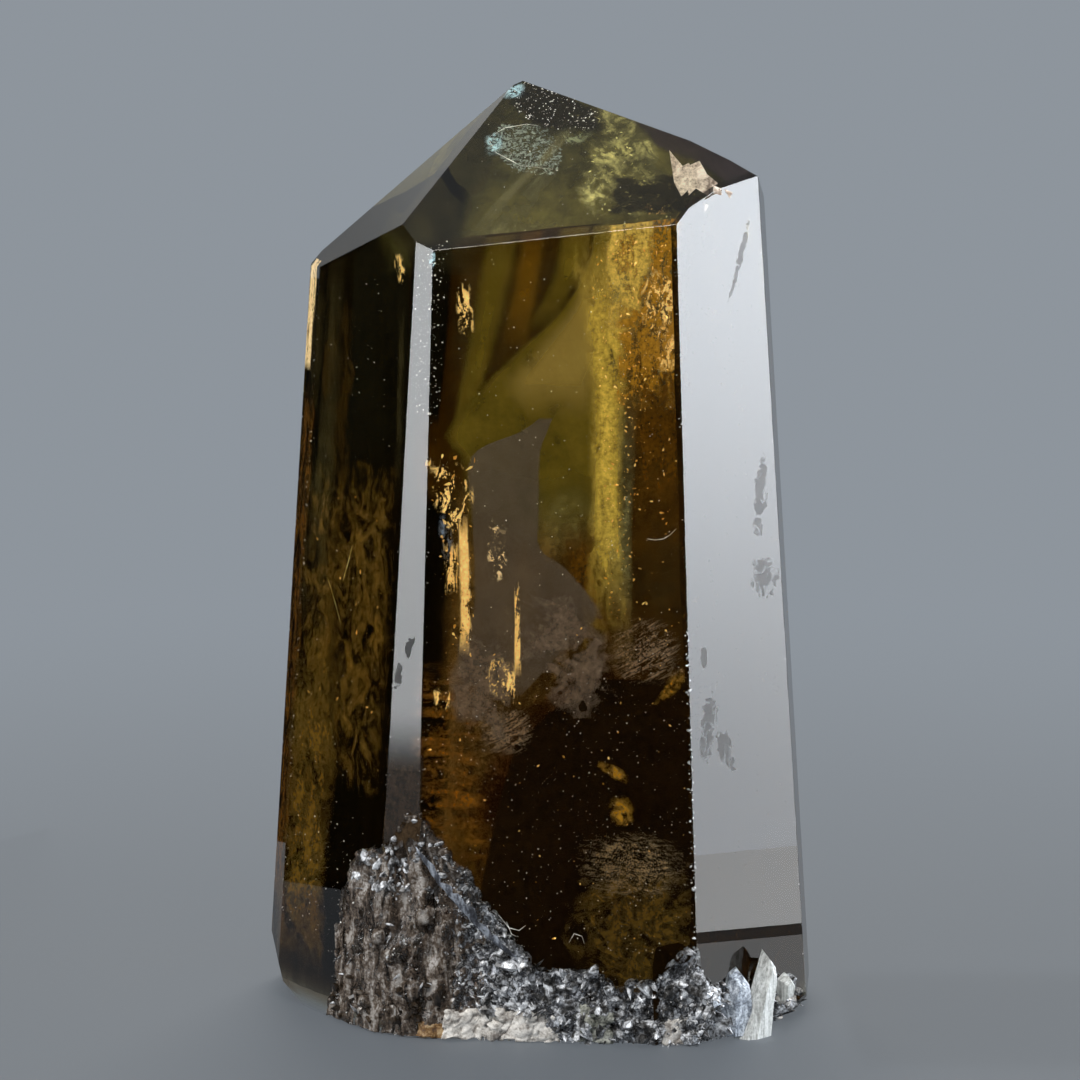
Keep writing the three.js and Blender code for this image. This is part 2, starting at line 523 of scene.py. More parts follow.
@dataclass(frozen=True)
class FleckFinish:
    """Mineral flecks of two tones."""

    name: str
    dark: Colour
    light: Colour
    # How strongly the flecks glow in their own colour: painted light.
    painted_glow: float
    metal: float
    rough: float = 0.3
    patch: float = 1.5

    def material(self) -> bpy.types.Material:
        """Builds the finish once, or gives the one that is already there."""
        if self.name in bpy.data.materials:
            return bpy.data.materials[self.name]
        material, sheet = new_material(self.name)
        patches = sheet.noise(sheet.spread((self.patch,) * 3), 3.0, 0.6)
        colour = sheet.blend(patches.steps(0.38, 0.62), (*self.dark, 1), (*self.light, 1))
        sockets = {
            "Base Color": colour,
            "Metallic": self.metal,
            "Roughness": self.rough,
            # The flecks glow in their own colour: painted light standing in for the light that reaches them
            # through the crystal.
            "Emission Color": colour,
            "Emission Strength": self.painted_glow,
        }
        sheet.shade("ShaderNodeBsdfPrincipled", sockets)
        return material


@dataclass(frozen=True)
class StoneFinish:
    """Opaque mineral with mottled colour, fine grain and relief."""

    name: str
    stops: tuple[tuple[float, Colour], ...]
    patch: tuple[float, float, float]
    grain: float
    rough: tuple[float, float]
    relief: float
    # How strongly the stone glows in its own colour: painted light.
    painted_glow: float = 0.0
    metal: float = 0.0
    speckle: float = 0.6
    clear: float = 0.0

    def material(self) -> bpy.types.Material:
        """Builds the finish once, or gives the one that is already there."""
        if self.name in bpy.data.materials:
            return bpy.data.materials[self.name]
        material, sheet = new_material(self.name)
        mottled = sheet.noise(sheet.spread(self.patch), 6.0, 0.65, 0.5)
        fine = sheet.noise(sheet.spread((self.grain,) * 3), 5.0, 0.7)
        tone = (mottled + (fine - 0.5) * self.speckle).steps(0.3, 0.7)
        colour = sheet.ramp(tone, list(self.stops))
        low, high = self.rough
        cover = 1.0
        if self.clear:
            cover = (mottled + (fine - 0.5) * 0.6).steps(self.clear - 0.05, self.clear + 0.05)
        relief = {"Strength": 0.8, "Distance": self.relief * MM, "Height": mottled + fine * 0.6}
        sockets = {
            "Base Color": colour,
            "Metallic": self.metal,
            "Alpha": cover,
            "Roughness": (fine * (high - low) * 1.4 + low).clamped(),
            "Normal": sheet.raw("ShaderNodeBump", None, relief).outputs[0],
            # The stone glows in its own colour: painted light.
            "Emission Color": colour,
            "Emission Strength": self.painted_glow,
            "IOR": 1.54,
        }
        sheet.shade("ShaderNodeBsdfPrincipled", sockets)
        return material


# ---- meshes and pieces ----


def new_mesh(name: str, points: list, faces: list) -> bpy.types.Mesh:
    """A mesh of its own from points and faces."""
    mesh = bpy.data.meshes.new(name)
    mesh.from_pydata(points, [], faces)
    return mesh


def turn_outwards(mesh: bpy.types.Mesh) -> None:
    """Turns a closed mesh's faces outwards."""
    work = bmesh.new()
    work.from_mesh(mesh)
    bmesh.ops.recalc_face_normals(work, faces=work.faces)
    work.to_mesh(mesh)
    work.free()


def shade_smooth(mesh: bpy.types.Mesh) -> None:
    """Shades all of a mesh's faces as one curve."""
    mesh.polygons.foreach_set("use_smooth", [True] * len(mesh.polygons))


def keep_above_floor(mesh: bpy.types.Mesh) -> None:
    """Lifts whatever is below the floor up to it."""
    for vert in mesh.vertices:
        vert.co.z = max(vert.co.z, 0.0)


def put_in_scene(name: str, data: object) -> bpy.types.Object:
    """Makes an object of a mesh or a camera and links it into the scene."""
    thing = bpy.data.objects.new(name, data)
    bpy.context.scene.collection.objects.link(thing)
    return thing


def add_piece(name: str, mesh: bpy.types.Mesh) -> bpy.types.Object:
    """Puts a finished mesh into the scene, riding on the crystal.

    Args:
        name: the piece's name.
        mesh: its mesh, in place.

    Returns:
        The piece.
    """
    piece = put_in_scene(name, mesh)
    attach(piece, "root")
    LOG.info("%s: %d faces", name, len(mesh.polygons))
    return piece


# ---- the crystal ----


@dataclass
class CrystalBody:
    """The whole crystal: polished prism and point, and the natural foot (mm, mm2, degrees)."""

    node: str = "crystal_point"
    finish: SmokyCitrine = field(default_factory=SmokyCitrine)
    weld: float = 0.005
    flat_within: float = 0.2
    edge_round: float = 0.06
    smallest_polished_face: float = 24.0
    sharp_edge: float = 4.0
    largest_natural_face: float = 4.0
    natural_cuts: int = 3
    foot_top: float = 45.0
    chip: float = 2.1
    chip_height: float = 0.55
    rib: float = 2.2
    rib_height: float = 0.75
    fluted_left_of: float = -9.0
    fluted_fade: float = 4.0

    def build(self, frame: dict) -> bpy.types.Object:
        """Copies the CAD solid as one clean shell with a finely broken foot.

        Args:
            frame: the loaded frame.

        Returns:
            The crystal.
        """
        mesh = frame["nodes"][self.node].data.copy()
        mesh.name = "crystal_body"
        work = bmesh.new()
        work.from_mesh(mesh)
        bmesh.ops.remove_doubles(work, verts=work.verts, dist=self.weld * MM)
        flat = math.radians(self.flat_within)
        bmesh.ops.dissolve_limit(work, angle_limit=flat, verts=work.verts, edges=work.edges)
        self._ease_edges(work)
        self._break_foot(work)
        work.to_mesh(mesh)
        work.free()
        mesh.materials.clear()
        mesh.materials.append(self.finish.material())
        piece = add_piece("crystal_body", mesh)
        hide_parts(self.node)
        return piece

    def _ease_edges(self, work: bmesh.types.BMesh) -> None:
        """Takes the sharpness off the polished edges with a hair-wide flat.

        Args:
            work: the crystal's mesh, changed in place.
        """
        large = self.smallest_polished_face * MM * MM
        sharp = math.radians(self.sharp_edge)
        edges = [
            e
            for e in work.edges
            if len(e.link_faces) == 2
            and all(f.calc_area() > large and f.normal.z > DOWNWARDS for f in e.link_faces)
            and e.calc_face_angle() > sharp
        ]
        width = self.edge_round * MM
        bmesh.ops.bevel(work, geom=edges, offset=width, segments=1, affect="EDGES", clamp_overlap=True)

    def _break_foot(self, work: bmesh.types.BMesh) -> None:
        """Cuts the natural faces finely and breaks them into small crystal steps.

        Args:
            work: the crystal's mesh, changed in place.
        """
        limit = self.largest_natural_face * MM * MM
        slim = self.edge_round * 2 * MM
        natural = [
            f
            for f in work.faces
            if f.calc_area() < limit
            and f.normal.z > RESTING
            and min(e.calc_length() for e in f.edges) > slim
        ]
        edges = list(dict.fromkeys(e for f in natural for e in f.edges))
        bmesh.ops.subdivide_edges(work, edges=edges, cuts=self.natural_cuts, use_grid_fill=True)
        layer = work.verts.layers.float.new("natural")
        free = []
        for vert in work.verts:
            small = all(f.calc_area() < limit and f.normal.z > RESTING for f in vert.link_faces)
            if vert.co.z < self.foot_top * MM and small:
                vert[layer] = 1.0
                free.append(vert)
        work.normal_update()
        moves = [(v, v.normal * self._chip_step(v.co / MM) * MM) for v in free]
        for vert, move in moves:
            vert.co += move
            vert.co.z = max(vert.co.z, 0.0)

    def _chip_step(self, place: Vector) -> float:
        """Height of the broken surface at a place: tilted little steps, each from one cell.

        Args:
            place: the place in millimetres.

        Returns:
            The height in millimetres.
        """
        height = 0.0
        fluted = min(1.0, max(0.0, (self.fluted_left_of - place.x) / self.fluted_fade))
        for size, share in ((self.chip, 1.0), (self.chip * 0.45, 0.5)):
            scaled = place / size
            _, centres = noise.voronoi(scaled, distance_metric="DISTANCE")
            centre = centres[0]
            tilt = noise.cell_vector(centre * 7.3) - Vector((0.5, 0.5, 0.5))
            height += share * ((scaled - centre).dot(tilt) * 1.3 + (noise.cell(centre * 3.1) - 0.5) * 0.5)
        rib = noise.noise(Vector((place.x / self.rib, place.y / self.rib, place.z / 16.0)))
        bend = noise.fractal(place / 6.0, 0.6, 2.0, 3)
        crest = noise.noise(Vector((place.x + bend * 2, place.y, place.z / 9.0)) / self.rib)
        ribs = 1.0 - 2.0 * abs(crest) + rib
        return height * self.chip_height * (1.0 - 0.6 * fluted) + ribs * fluted * self.rib_height


CREAM_BOX = ((-15.0, -60.0, -1.0), (3.0, -20.0, 4.4))


def in_box(place: Vector, low: tuple, high: tuple) -> bool:
    """Whether a place lies in a box (mm)."""
    return all(low[i] <= place[i] <= high[i] for i in range(3))


def natural_patch(
    body: bpy.types.Object, name: str, low: tuple, high: tuple, bare: bool = False
) -> bpy.types.Mesh:
    """Copies the natural faces whose middles lie in a box.

    Args:
        body: the crystal.
        name: the new mesh's name.
        low: the box's lowest corner (mm).
        high: the box's highest corner (mm).
        bare: whether the faces under the cream rock are left out.

    Returns:
        The faces as a mesh of their own.
    """
    work = bmesh.new()
    work.from_mesh(body.data)
    layer = work.verts.layers.float["natural"]
    away = []
    for face in work.faces:
        middle = face.calc_center_median() / MM
        inside = in_box(middle, low, high) and not (bare and in_box(middle, *CREAM_BOX))
        if not inside or face.normal.z < DOWNWARDS or min(v[layer] for v in face.verts) < 1.0:
            away.append(face)
    bmesh.ops.delete(work, geom=away, context="FACES")
    work.verts.index_update()
    # A fixed order of faces and corners, so that what is scattered on them lands the same each time.
    rings = [[vert.index for vert in face.verts] for face in work.faces]
    rings = sorted(ring[ring.index(min(ring)) :] + ring[: ring.index(min(ring))] for ring in rings)
    mesh = new_mesh(name, [vert.co for vert in work.verts], rings)
    work.free()
    return mesh


# ---- shapes for what is inside and on the foot ----

RIPPLE_LENGTH = 14.0
RIPPLES_APART = 31.7


def along_rows(rows: Rows, share: float) -> tuple[float, float, float, float]:
    """A row between the given ones.

    Args:
        rows: rows of height, left edge, right edge and depth.
        share: 0 at the first row, 1 at the last.

    Returns:
        The row at that share, on smooth curves through the given rows.
    """
    spot = share * (len(rows) - 1)
    index = min(int(spot), len(rows) - 2)
    t = spot - index
    before, start = rows[max(index - 1, 0)], rows[index]
    end, after = rows[index + 1], rows[min(index + 2, len(rows) - 1)]
    row = []
    for a, b, c, d in zip(before, start, end, after):
        square, cube = 2 * a - 5 * b + 4 * c - d, 3 * b - a - 3 * c + d
        row.append(0.5 * (2 * b + (c - a) * t + square * t**2 + cube * t**3))
    return tuple(row)


def keep_inside(mesh: bpy.types.Mesh, below_ridge: bool, gap: float = 0.12, floor: float = 0.3) -> None:
    """Cuts a film back to the inside of the crystal.

    Args:
        mesh: the film, changed in place.
        below_ridge: whether it ends level with the ridge over the front facet.
        gap: how far it stays below the facets (mm).
        floor: how far it stays above the floor (mm).
    """
    work = bmesh.new()
    work.from_mesh(mesh)
    facets = [side.value.inset(gap) for side in Side]
    planes = [(facet.normal, facet.reach * MM) for facet in facets]
    planes.append((Vector((0, 0, -1)), -floor * MM))
    if below_ridge:
        front, point = Side.FRONT.value, Side.POINT_FRONT.value
        share = front.normal.dot(point.normal)
        rise = point.normal - front.normal * share
        planes.append((rise.normalized(), (point.reach - share * front.reach) / rise.length * MM))
    for normal, reach in planes:
        if any(vert.co.dot(normal) > reach for vert in work.verts):
            geom, place = [*work.verts, *work.edges, *work.faces], normal * reach
            bmesh.ops.bisect_plane(work, geom=geom, plane_co=place, plane_no=normal, clear_outer=True)
    work.to_mesh(mesh)
    work.free()


def drape_mesh(
    name: str, side: Side, rows: Rows, ripple: float, pitch: float, seed: int, below_ridge: bool = False
) -> bpy.types.Mesh:
    """Makes a rippled film behind a facet.

    Args:
        name: the mesh's name.
        side: the facet it lies behind.
        rows: height, left edge, right edge and depth, from the top down (mm).
        ripple: how far it waves (mm).
        pitch: size of its squares (mm).
        seed: moves the ripple's pattern.
        below_ridge: whether it ends level with the ridge over the front facet.

    Returns:
        The mesh, with a UV map from 0 to 1 across and down.
    """
    facet = side.value
    tall = abs(rows[0][0] - rows[-1][0])
    wide = max(abs(row[2] - row[1]) for row in rows)
    down, over = max(2, round(tall / pitch)), max(2, round(wide / pitch))
    points, marks = [], []
    for j in range(down + 1):
        up, left, right, depth = along_rows(rows, j / down)
        for i in range(over + 1):
            across = left + (right - left) * i / over
            spot = Vector((across, up, depth + RIPPLES_APART * seed))
            wave = noise.fractal(spot / RIPPLE_LENGTH, 0.6, 2.1, 4) * 1.4
            points.append(facet.behind(across, up + 0.3 * ripple * wave, depth + ripple * wave))
            marks.append((i / over, 1 - j / down))
    row = over + 1
    faces = [
        (j * row + i, (j + 1) * row + i, (j + 1) * row + i + 1, j * row + i + 1)
        for j in range(down)
        for i in range(over)
    ]
    mesh = new_mesh(name, points, faces)
    layer = mesh.uv_layers.new(name="UVMap")
    for loop in mesh.loops:
        layer.data[loop.index].uv = marks[loop.vertex_index]
    keep_inside(mesh, below_ridge)
    shade_smooth(mesh)
    return mesh


def along_path(path: list[tuple[float, ...]], share: float) -> tuple[float, ...]:
    """A place on a bent line.

    Args:
        path: the line's corners.
        share: 0 at its start, 1 at its end.

    Returns:
        The place.
    """
    spot = share * (len(path) - 1)
    index = min(int(spot), len(path) - 2)
    part = spot - index
    return tuple(a * (1 - part) + b * part for a, b in zip(path[index], path[index + 1]))


def tube_mesh(
    name: str, points: list[Vector], widths: list[float], sides: int, flat: float = 1.0
) -> bpy.types.Mesh:
    """Makes a closed tube along a line.

    Args:
        name: the mesh's name.
        points: the line's points (m).
        widths: the tube's radius at each point (mm).
        sides: how many sides it has.
        flat: its depth as a share of its width.

    Returns:
        The mesh.
    """
    spots: list[Vector] = []
    for index, point in enumerate(points):
        ahead = (points[min(index + 1, len(points) - 1)] - points[max(index - 1, 0)]).normalized()
        first = ahead.cross(Vector((0.13, 1.0, 0.07))).normalized()
        second = ahead.cross(first) * flat
        for side in range(sides):
            turn = math.tau * side / sides
            spots.append(point + (first * math.cos(turn) + second * math.sin(turn)) * widths[index] * MM)
    last = (len(points) - 1) * sides
    faces: list[tuple[int, ...]] = [tuple(range(sides)), tuple(range(last, last + sides))]
    for index in range(len(points) - 1):
        for side in range(sides):
            a, b = index * sides + side, index * sides + (side + 1) % sides
            faces.append((a, b, b + sides, a + sides))
    mesh = new_mesh(name, spots, faces)
    turn_outwards(mesh)
    shade_smooth(mesh)
    return mesh


@dataclass
class Veil:
    """A cloudy film sealed in the crystal."""

    name: str
    side: Side
    finish: VeilFinish
    rows: Rows
    ripple: float = 1.2
    pitch: float = 1.0
    below_ridge: bool = False

    def build(self, seed: int) -> bpy.types.Object:
        """Makes the film; the seed moves its ripples."""
        sizes = (self.rows, self.ripple, self.pitch)
        mesh = drape_mesh(self.name, self.side, *sizes, seed, self.below_ridge)
        mesh.materials.append(self.finish.material())
        return add_piece(self.name, mesh)


def film(
    name: str, side: Side, finish: VeilFinish, depth: float, *rows: tuple[float, ...], **shape: float
) -> Veil:
    """Describes a film.

    Args:
        name: its name.
        side: the facet it lies behind.
        finish: its finish.
        depth: how deep it lies (mm).
        rows: height, left edge, right edge and, where a row has its own, depth, from the top down (mm).
        shape: its ripple, its pitch, and whether it ends below the ridge.

    Returns:
        The film.
    """
    return Veil(name, side, finish, [(*row, depth)[:4] for row in rows], **shape)


def fleck_mesh(name: str, corners: int, stretch: float, thickness: float) -> bpy.types.Mesh:
    """One fleck about 1 unit across: an irregular thin lens.

    Args:
        name: the mesh's name.
        corners: how many corners its outline has.
        stretch: how much longer it is than wide.
        thickness: its thickness.

    Returns:
        The mesh.
    """
    outline = []
    for index in range(corners):
        turn = math.tau * index / corners
        reach = 0.5 * (0.72 + 0.28 * math.sin(index * 2.4 + 0.7))
        outline.append((reach * stretch * math.cos(turn), reach * math.sin(turn), 0.0))
    points = [*outline, (0.05, 0.0, thickness / 2), (0.0, 0.04, -thickness / 2)]
    faces = []
    for index in range(corners):
        following = (index + 1) % corners
        faces.append((index, following, corners))
        faces.append((following, index, corners + 1))
    return new_mesh(name, points, faces)


def quartz_mesh(name: str, width: float, shoulder: float, sink: float) -> bpy.types.Mesh:
    """One small six-sided quartz point of height 1, standing on Z.

    Args:
        name: the mesh's name.
        width: its width.
        shoulder: where its point begins, as a share of its height.
        sink: how far its root goes below 0.

    Returns:
        The mesh.
    """
    rings = [(-sink, width * 0.52), (shoulder, width * 0.48)]
    points = []
    for height, reach in rings:
        for index in range(6):
            turn = math.tau * index / 6
            uneven = 1.0 + 0.16 * math.sin(index * 2.7)
            lift = 0.12 * math.sin(index * 1.9) if height > 0 else 0.0
            points.append((reach * uneven * math.cos(turn), reach * uneven * math.sin(turn), height + lift))
    points.append((0.06 * width, -0.08 * width, 1.0))
    faces: list[tuple[int, ...]] = [tuple(reversed(range(6)))]
    for index in range(6):
        following = (index + 1) % 6
        faces.append((index, following, 6 + following, 6 + index))
        faces.append((6 + index, 6 + following, 12))
    return new_mesh(name, points, faces)


def scatter_tree() -> bpy.types.NodeTree:
    """Builds the Geometry Nodes tree that scatters small pieces over a film or a surface.

    Returns:
        The tree, with its sizes as named inputs.
    """
    tree = bpy.data.node_groups.new("scatter", "GeometryNodeTree")
    tree.interface.new_socket("Geometry", in_out="OUTPUT", socket_type="NodeSocketGeometry")
    sizes = ("Per square metre", "Smallest", "Largest", "Tilt", "Turn")
    given = {"Geometry": "Geometry", "Piece": "Object", **dict.fromkeys(sizes, "Float")}
    for name, kind in {**given, "Seed": "Int", "Finish": "Material"}.items():
        tree.interface.new_socket(name, in_out="INPUT", socket_type=f"NodeSocket{kind}")
    sheet = NodeSheet(tree)
    given = sheet.raw("NodeGroupInput").outputs
    spots = sheet.raw(
        "GeometryNodeDistributePointsOnFaces",
        {"distribute_method": "RANDOM"},
        {"Mesh": given["Geometry"], "Density": given["Per square metre"], "Seed": given["Seed"]},
    )
    piece = sheet.raw("GeometryNodeObjectInfo", None, {"Object": given["Piece"]})
    tilt, turn = Value(sheet, given["Tilt"]), Value(sheet, given["Turn"])
    low = sheet.raw("ShaderNodeCombineXYZ", None, {0: tilt * -1.0, 1: tilt * -1.0, 2: turn * -1.0})
    high = sheet.raw("ShaderNodeCombineXYZ", None, {0: tilt, 1: tilt, 2: turn})
    swing = sheet.raw(
        "FunctionNodeRandomValue",
        {"data_type": "FLOAT_VECTOR"},
        {"Min": low.outputs[0], "Max": high.outputs[0], "Seed": given["Seed"]},
    )
    rotation = sheet.raw(
        "FunctionNodeRotateRotation",
        {"rotation_space": "LOCAL"},
        {"Rotation": spots.outputs["Rotation"], "Rotate By": swing.outputs["Value"]},
    )
    draw = sheet.raw(
        "FunctionNodeRandomValue",
        {"data_type": "FLOAT"},
        {"Seed": (Value(sheet, given["Seed"]) + 11).socket},
    )
    share = Value(sheet, draw.outputs[1]) ** 2.2
    size = share * (Value(sheet, given["Largest"]) - given["Smallest"]) + given["Smallest"]
    placed = sheet.raw(
        "GeometryNodeInstanceOnPoints",
        None,
        {
            "Points": spots.outputs["Points"],
            "Instance": piece.outputs["Geometry"],
            "Rotation": rotation.outputs[0],
            "Scale": size,
        },
    )
    real = sheet.raw("GeometryNodeRealizeInstances", None, {0: placed.outputs[0]})
    dressed = sheet.raw("GeometryNodeSetMaterial", None, {0: real.outputs[0], "Material": given["Finish"]})
    sheet.raw("NodeGroupOutput", None, {0: dressed.outputs[0]})
    return tree


@dataclass
class Scatter:
    """Many small pieces lying on a carrier: how dense, how large, and how they lie."""

    name: str
    piece: str
    finish: FleckFinish | StoneFinish
    density: float
    sizes: tuple[float, float]
    tilt: float
    seed: int
    turn: float = 180.0


class Scatterer:
    """Scatters small pieces over carriers with one shared tree."""

    def __init__(self) -> None:
        """Builds the tree and the small pieces."""
        self.tree = scatter_tree()
        meshes = [
            fleck_mesh("fleck", 6, 1.5, 0.08),
            fleck_mesh("speck", 5, 1.1, 0.6),
            quartz_mesh("quartz", 0.62, 0.55, 0.35),
            quartz_mesh("splinter", 0.2, 0.45, 0.35),
        ]
        self.pieces = {mesh.name: bpy.data.objects.new(mesh.name, mesh) for mesh in meshes}

    def over(self, carrier: bpy.types.Mesh, scatter: Scatter) -> bpy.types.Object:
        """Makes one piece of many small ones.

        Args:
            carrier: the surface they lie on.
            scatter: what is scattered, and how.

        Returns:
            The piece.
        """
        host = put_in_scene(scatter.name + "_host", carrier)
        modifier = host.modifiers.new("scatter", "NODES")
        modifier.node_group = self.tree
        values = {
            "Piece": self.pieces[scatter.piece],
            "Per square metre": scatter.density / (MM * MM),
            "Smallest": scatter.sizes[0] * MM,
            "Largest": scatter.sizes[1] * MM,
            "Tilt": math.radians(scatter.tilt),
            "Turn": math.radians(scatter.turn),
            "Seed": scatter.seed,
            "Finish": scatter.finish.material(),
        }
        for item in self.tree.interface.items_tree:
            if item.in_out == "INPUT" and item.name in values:
                modifier[item.identifier] = values[item.name]
        bpy.context.view_layer.update()
        done = host.evaluated_get(bpy.context.evaluated_depsgraph_get())
        result = bpy.data.meshes.new_from_object(done)
        result.name = scatter.name
        bpy.data.objects.remove(host)
        keep_above_floor(result)
        return add_piece(scatter.name, result)


# ---- growth zones ----


def cut_to(work: bmesh.types.BMesh, facet: Facet) -> None:
    """Cuts a closed convex mesh back to a plane and closes the cut.

    Args:
        work: the mesh, changed in place.
        facet: the plane; what lies outside it goes.
    """
    geom = [*work.verts, *work.edges, *work.faces]
    place = facet.normal * facet.reach * MM
    bmesh.ops.bisect_plane(work, geom=geom, plane_co=place, plane_no=facet.normal, clear_outer=True)
    rim = [e for e in work.edges if e.is_boundary]
    if rim:
        bmesh.ops.holes_fill(work, edges=rim, sides=0)


@dataclass
class GhostZone:
    """An earlier crystal seen inside the later one: flat-faced and browner."""

    name: str
    finish: ZoneFinish
    tops: tuple[Facet, ...]
    inset: float = 2.6
    foot: float = 3.0

    def build(self) -> bpy.types.Object:
        """Makes the zone."""
        work = bmesh.new()
        bmesh.ops.create_cube(work, size=0.4)
        planes = [side.value.inset(self.inset) for side in Side]
        for facet in [*planes, *self.tops, Facet(0.0, -90.0, -self.foot)]:
            cut_to(work, facet)
        return close_zone(work, self.name, self.finish)


@dataclass
class SmokeDome:
    """A rounded smoky zone low in the crystal."""

    name: str
    finish: ZoneFinish
    middle: tuple[float, float, float]
    radii: tuple[float, float, float]
    uneven: float = 0.05
    inset: float = 2.2
    foot: float = 2.5

    def build(self) -> bpy.types.Object:
        """Makes the zone."""
        work = bmesh.new()
        bmesh.ops.create_icosphere(work, subdivisions=5, radius=1.0)
        for vert in work.verts:
            reach = 1.0 + self.uneven * noise.fractal(vert.co * 1.6, 0.6, 2.1, 4)
            vert.co = Vector([(m + r * c * reach) * MM for m, r, c in zip(self.middle, self.radii, vert.co)])
        for facet in [*(side.value.inset(self.inset) for side in Side), Facet(0.0, -90.0, -self.foot)]:
            cut_to(work, facet)
        return close_zone(work, self.name, self.finish, smooth=True)


def close_zone(
    work: bmesh.types.BMesh, name: str, finish: ZoneFinish, smooth: bool = False
) -> bpy.types.Object:
    """Turns a zone's mesh into a piece with its faces outwards.

    Args:
        work: the closed mesh.
        name: the piece's name.
        finish: its finish.
        smooth: whether its small faces are shaded as one curve.

    Returns:
        The piece.
    """
    bmesh.ops.remove_doubles(work, verts=work.verts, dist=0.002 * MM)
    bmesh.ops.recalc_face_normals(work, faces=work.faces)
    mesh = bpy.data.meshes.new(name)
    work.to_mesh(mesh)
    work.free()
    small = 20 * MM * MM
    for polygon in mesh.polygons:
        polygon.use_smooth = smooth and polygon.area < small
    mesh.materials.append(finish.material())
    return add_piece(name, mesh)


# ---- everything sealed in the crystal ----

GOLD_CLOUD = VeilFinish(
    "gold_cloud", (0.05, 0.02, 0.001), (0.84, 0.58, 0.12), patch=(2.4, 2.4, 4.0), grain=0.6,
    cover=(0.30, 0.54), most=0.96, edge=0.2, ragged=0.3, warp=1.1, speckle=0.5,
)
AMBER_BLOCK = VeilFinish(
    "amber_block", (0.03, 0.010, 0.0005), (0.50, 0.25, 0.025), patch=(2.2, 2.2, 4.4), grain=0.6,
    cover=(0.34, 0.58), painted_glow=0.42, edge=0.2, warp=1.1, speckle=0.6,
)
GOLD_COLUMN = VeilFinish(
    "gold_column", (0.11, 0.055, 0.003), (0.84, 0.60, 0.10), patch=(2.0, 2.0, 7.0), grain=0.8,
    cover=(0.10, 0.46), most=0.97, edge=0.42, ragged=0.3, warp=0.7, speckle=0.5,
)
GOLD_BROWN = VeilFinish(
    "gold_brown", (0.008, 0.003, 0.0004), (0.16, 0.068, 0.006), patch=(2.2, 2.2, 5), grain=0.6,
    cover=(0.14, 0.46), painted_glow=0.3, most=0.93, edge=0.36, ragged=0.24,
)
BROWN_SMOKE = VeilFinish(
    "brown_smoke", (0.010, 0.004, 0.0004), (0.046, 0.019, 0.0012), patch=(6, 8, 30), grain=3.0,
    cover=(0.0, 0.3), painted_glow=0.4, most=0.94, edge=0.1, ragged=0.1, warp=0.2, lean=-24.0, speckle=0.05,
)
# A near-black film that stands where there is only shade: painted shade.
PAINTED_BLACK_SHADE = VeilFinish(
    "black_smoke", (0.001, 0.0008, 0.0004), (0.008, 0.006, 0.002), patch=(3.2, 3.2, 60), grain=2.0,
    cover=(0.2, 0.42), painted_glow=0.3, most=0.985, edge=0.12, ragged=0.1,
)
# Olive and orange films for band_a, band_b and band_c: painted refraction images of the back facets' edges.
BAND_OLIVE = VeilFinish(
    "band_olive", (0.07, 0.047, 0.004), (0.15, 0.105, 0.013), patch=(6, 8, 40), grain=4.0, cover=(0.0, 0.3),
    most=0.85, edge=0.42, ragged=0.1, warp=0.2, lean=-24.0, speckle=0.05,
)
BAND_ORANGE = VeilFinish(
    "band_orange", (0.06, 0.026, 0.001), (0.15, 0.075, 0.006), patch=(6, 8, 40), grain=4.0,
    cover=(0.0, 0.3), most=0.85, edge=0.42, ragged=0.1, warp=0.2, lean=-24.0, speckle=0.05,
)
GREY_WINDOW = VeilFinish(
    "grey_window", (0.058, 0.044, 0.031), (0.104, 0.081, 0.058), patch=(8, 8, 14), grain=3.0,
    cover=(0.0, 0.1), painted_glow=0.5, most=0.78, edge=0.05, ragged=0.04, warp=0.3, speckle=0.1,
)
DOME_SHADE = VeilFinish(
    "dome_shade", (0.0015, 0.0006, 0.0002), (0.022, 0.011, 0.003), patch=(6, 6, 9), grain=1.2,
    cover=(0.0, 0.2), painted_glow=0.3, most=0.96, edge=0.02, ragged=0.02, warp=0.8, speckle=0.4,
)
FULL_SHADE = VeilFinish(
    "full_shade", (0.001, 0.0008, 0.0004), (0.008, 0.006, 0.002), patch=(3.2, 3.2, 60), grain=2.0,
    cover=(0.0, 0.2), painted_glow=0.3, most=0.985, edge=0.1, ragged=0.1,
)
BEVEL_BROWN = VeilFinish(
    "bevel_brown", (0.006, 0.003, 0.001), (0.06, 0.039, 0.022), patch=(1.3, 1.3, 16), grain=0.9,
    cover=(0.05, 0.3), painted_glow=0.35, most=0.94, edge=0.2, ragged=0.3, warp=0.5, speckle=0.4,
)
POINT_SHADE = VeilFinish(
    "point_shade", (0.010, 0.008, 0.003), (0.045, 0.036, 0.014), patch=(4, 9, 30), grain=4.0,
    cover=(0.0, 0.25), painted_glow=0.4, most=0.85, ragged=0.1, warp=0.2, lean=34.0, speckle=0.08,
)
POINT_BAND = VeilFinish(
    "point_band", (0.13, 0.112, 0.045), (0.23, 0.20, 0.085), patch=(3, 9, 30), grain=4.0, cover=(0.0, 0.2),
    most=0.62, edge=0.42, ragged=0.05, warp=0.1, speckle=0.05,
)
RIDGE_DARK = VeilFinish(
    "ridge_dark", (0.010, 0.006, 0.006), (0.05, 0.036, 0.032), patch=(4, 4, 8), grain=1.0, cover=(0.0, 0.2),
    painted_glow=0.4, most=0.9, edge=0.1, ragged=0.15,
)
OLIVE_HAZE = VeilFinish(
    "olive_haze", (0.050, 0.036, 0.0035), (0.14, 0.098, 0.012), patch=(7, 9, 20), grain=4.0,
    cover=(0.0, 0.3), painted_glow=0.5, most=0.88, edge=0.10, ragged=0.05, warp=0.3, lean=-32.0, speckle=0.05,
)
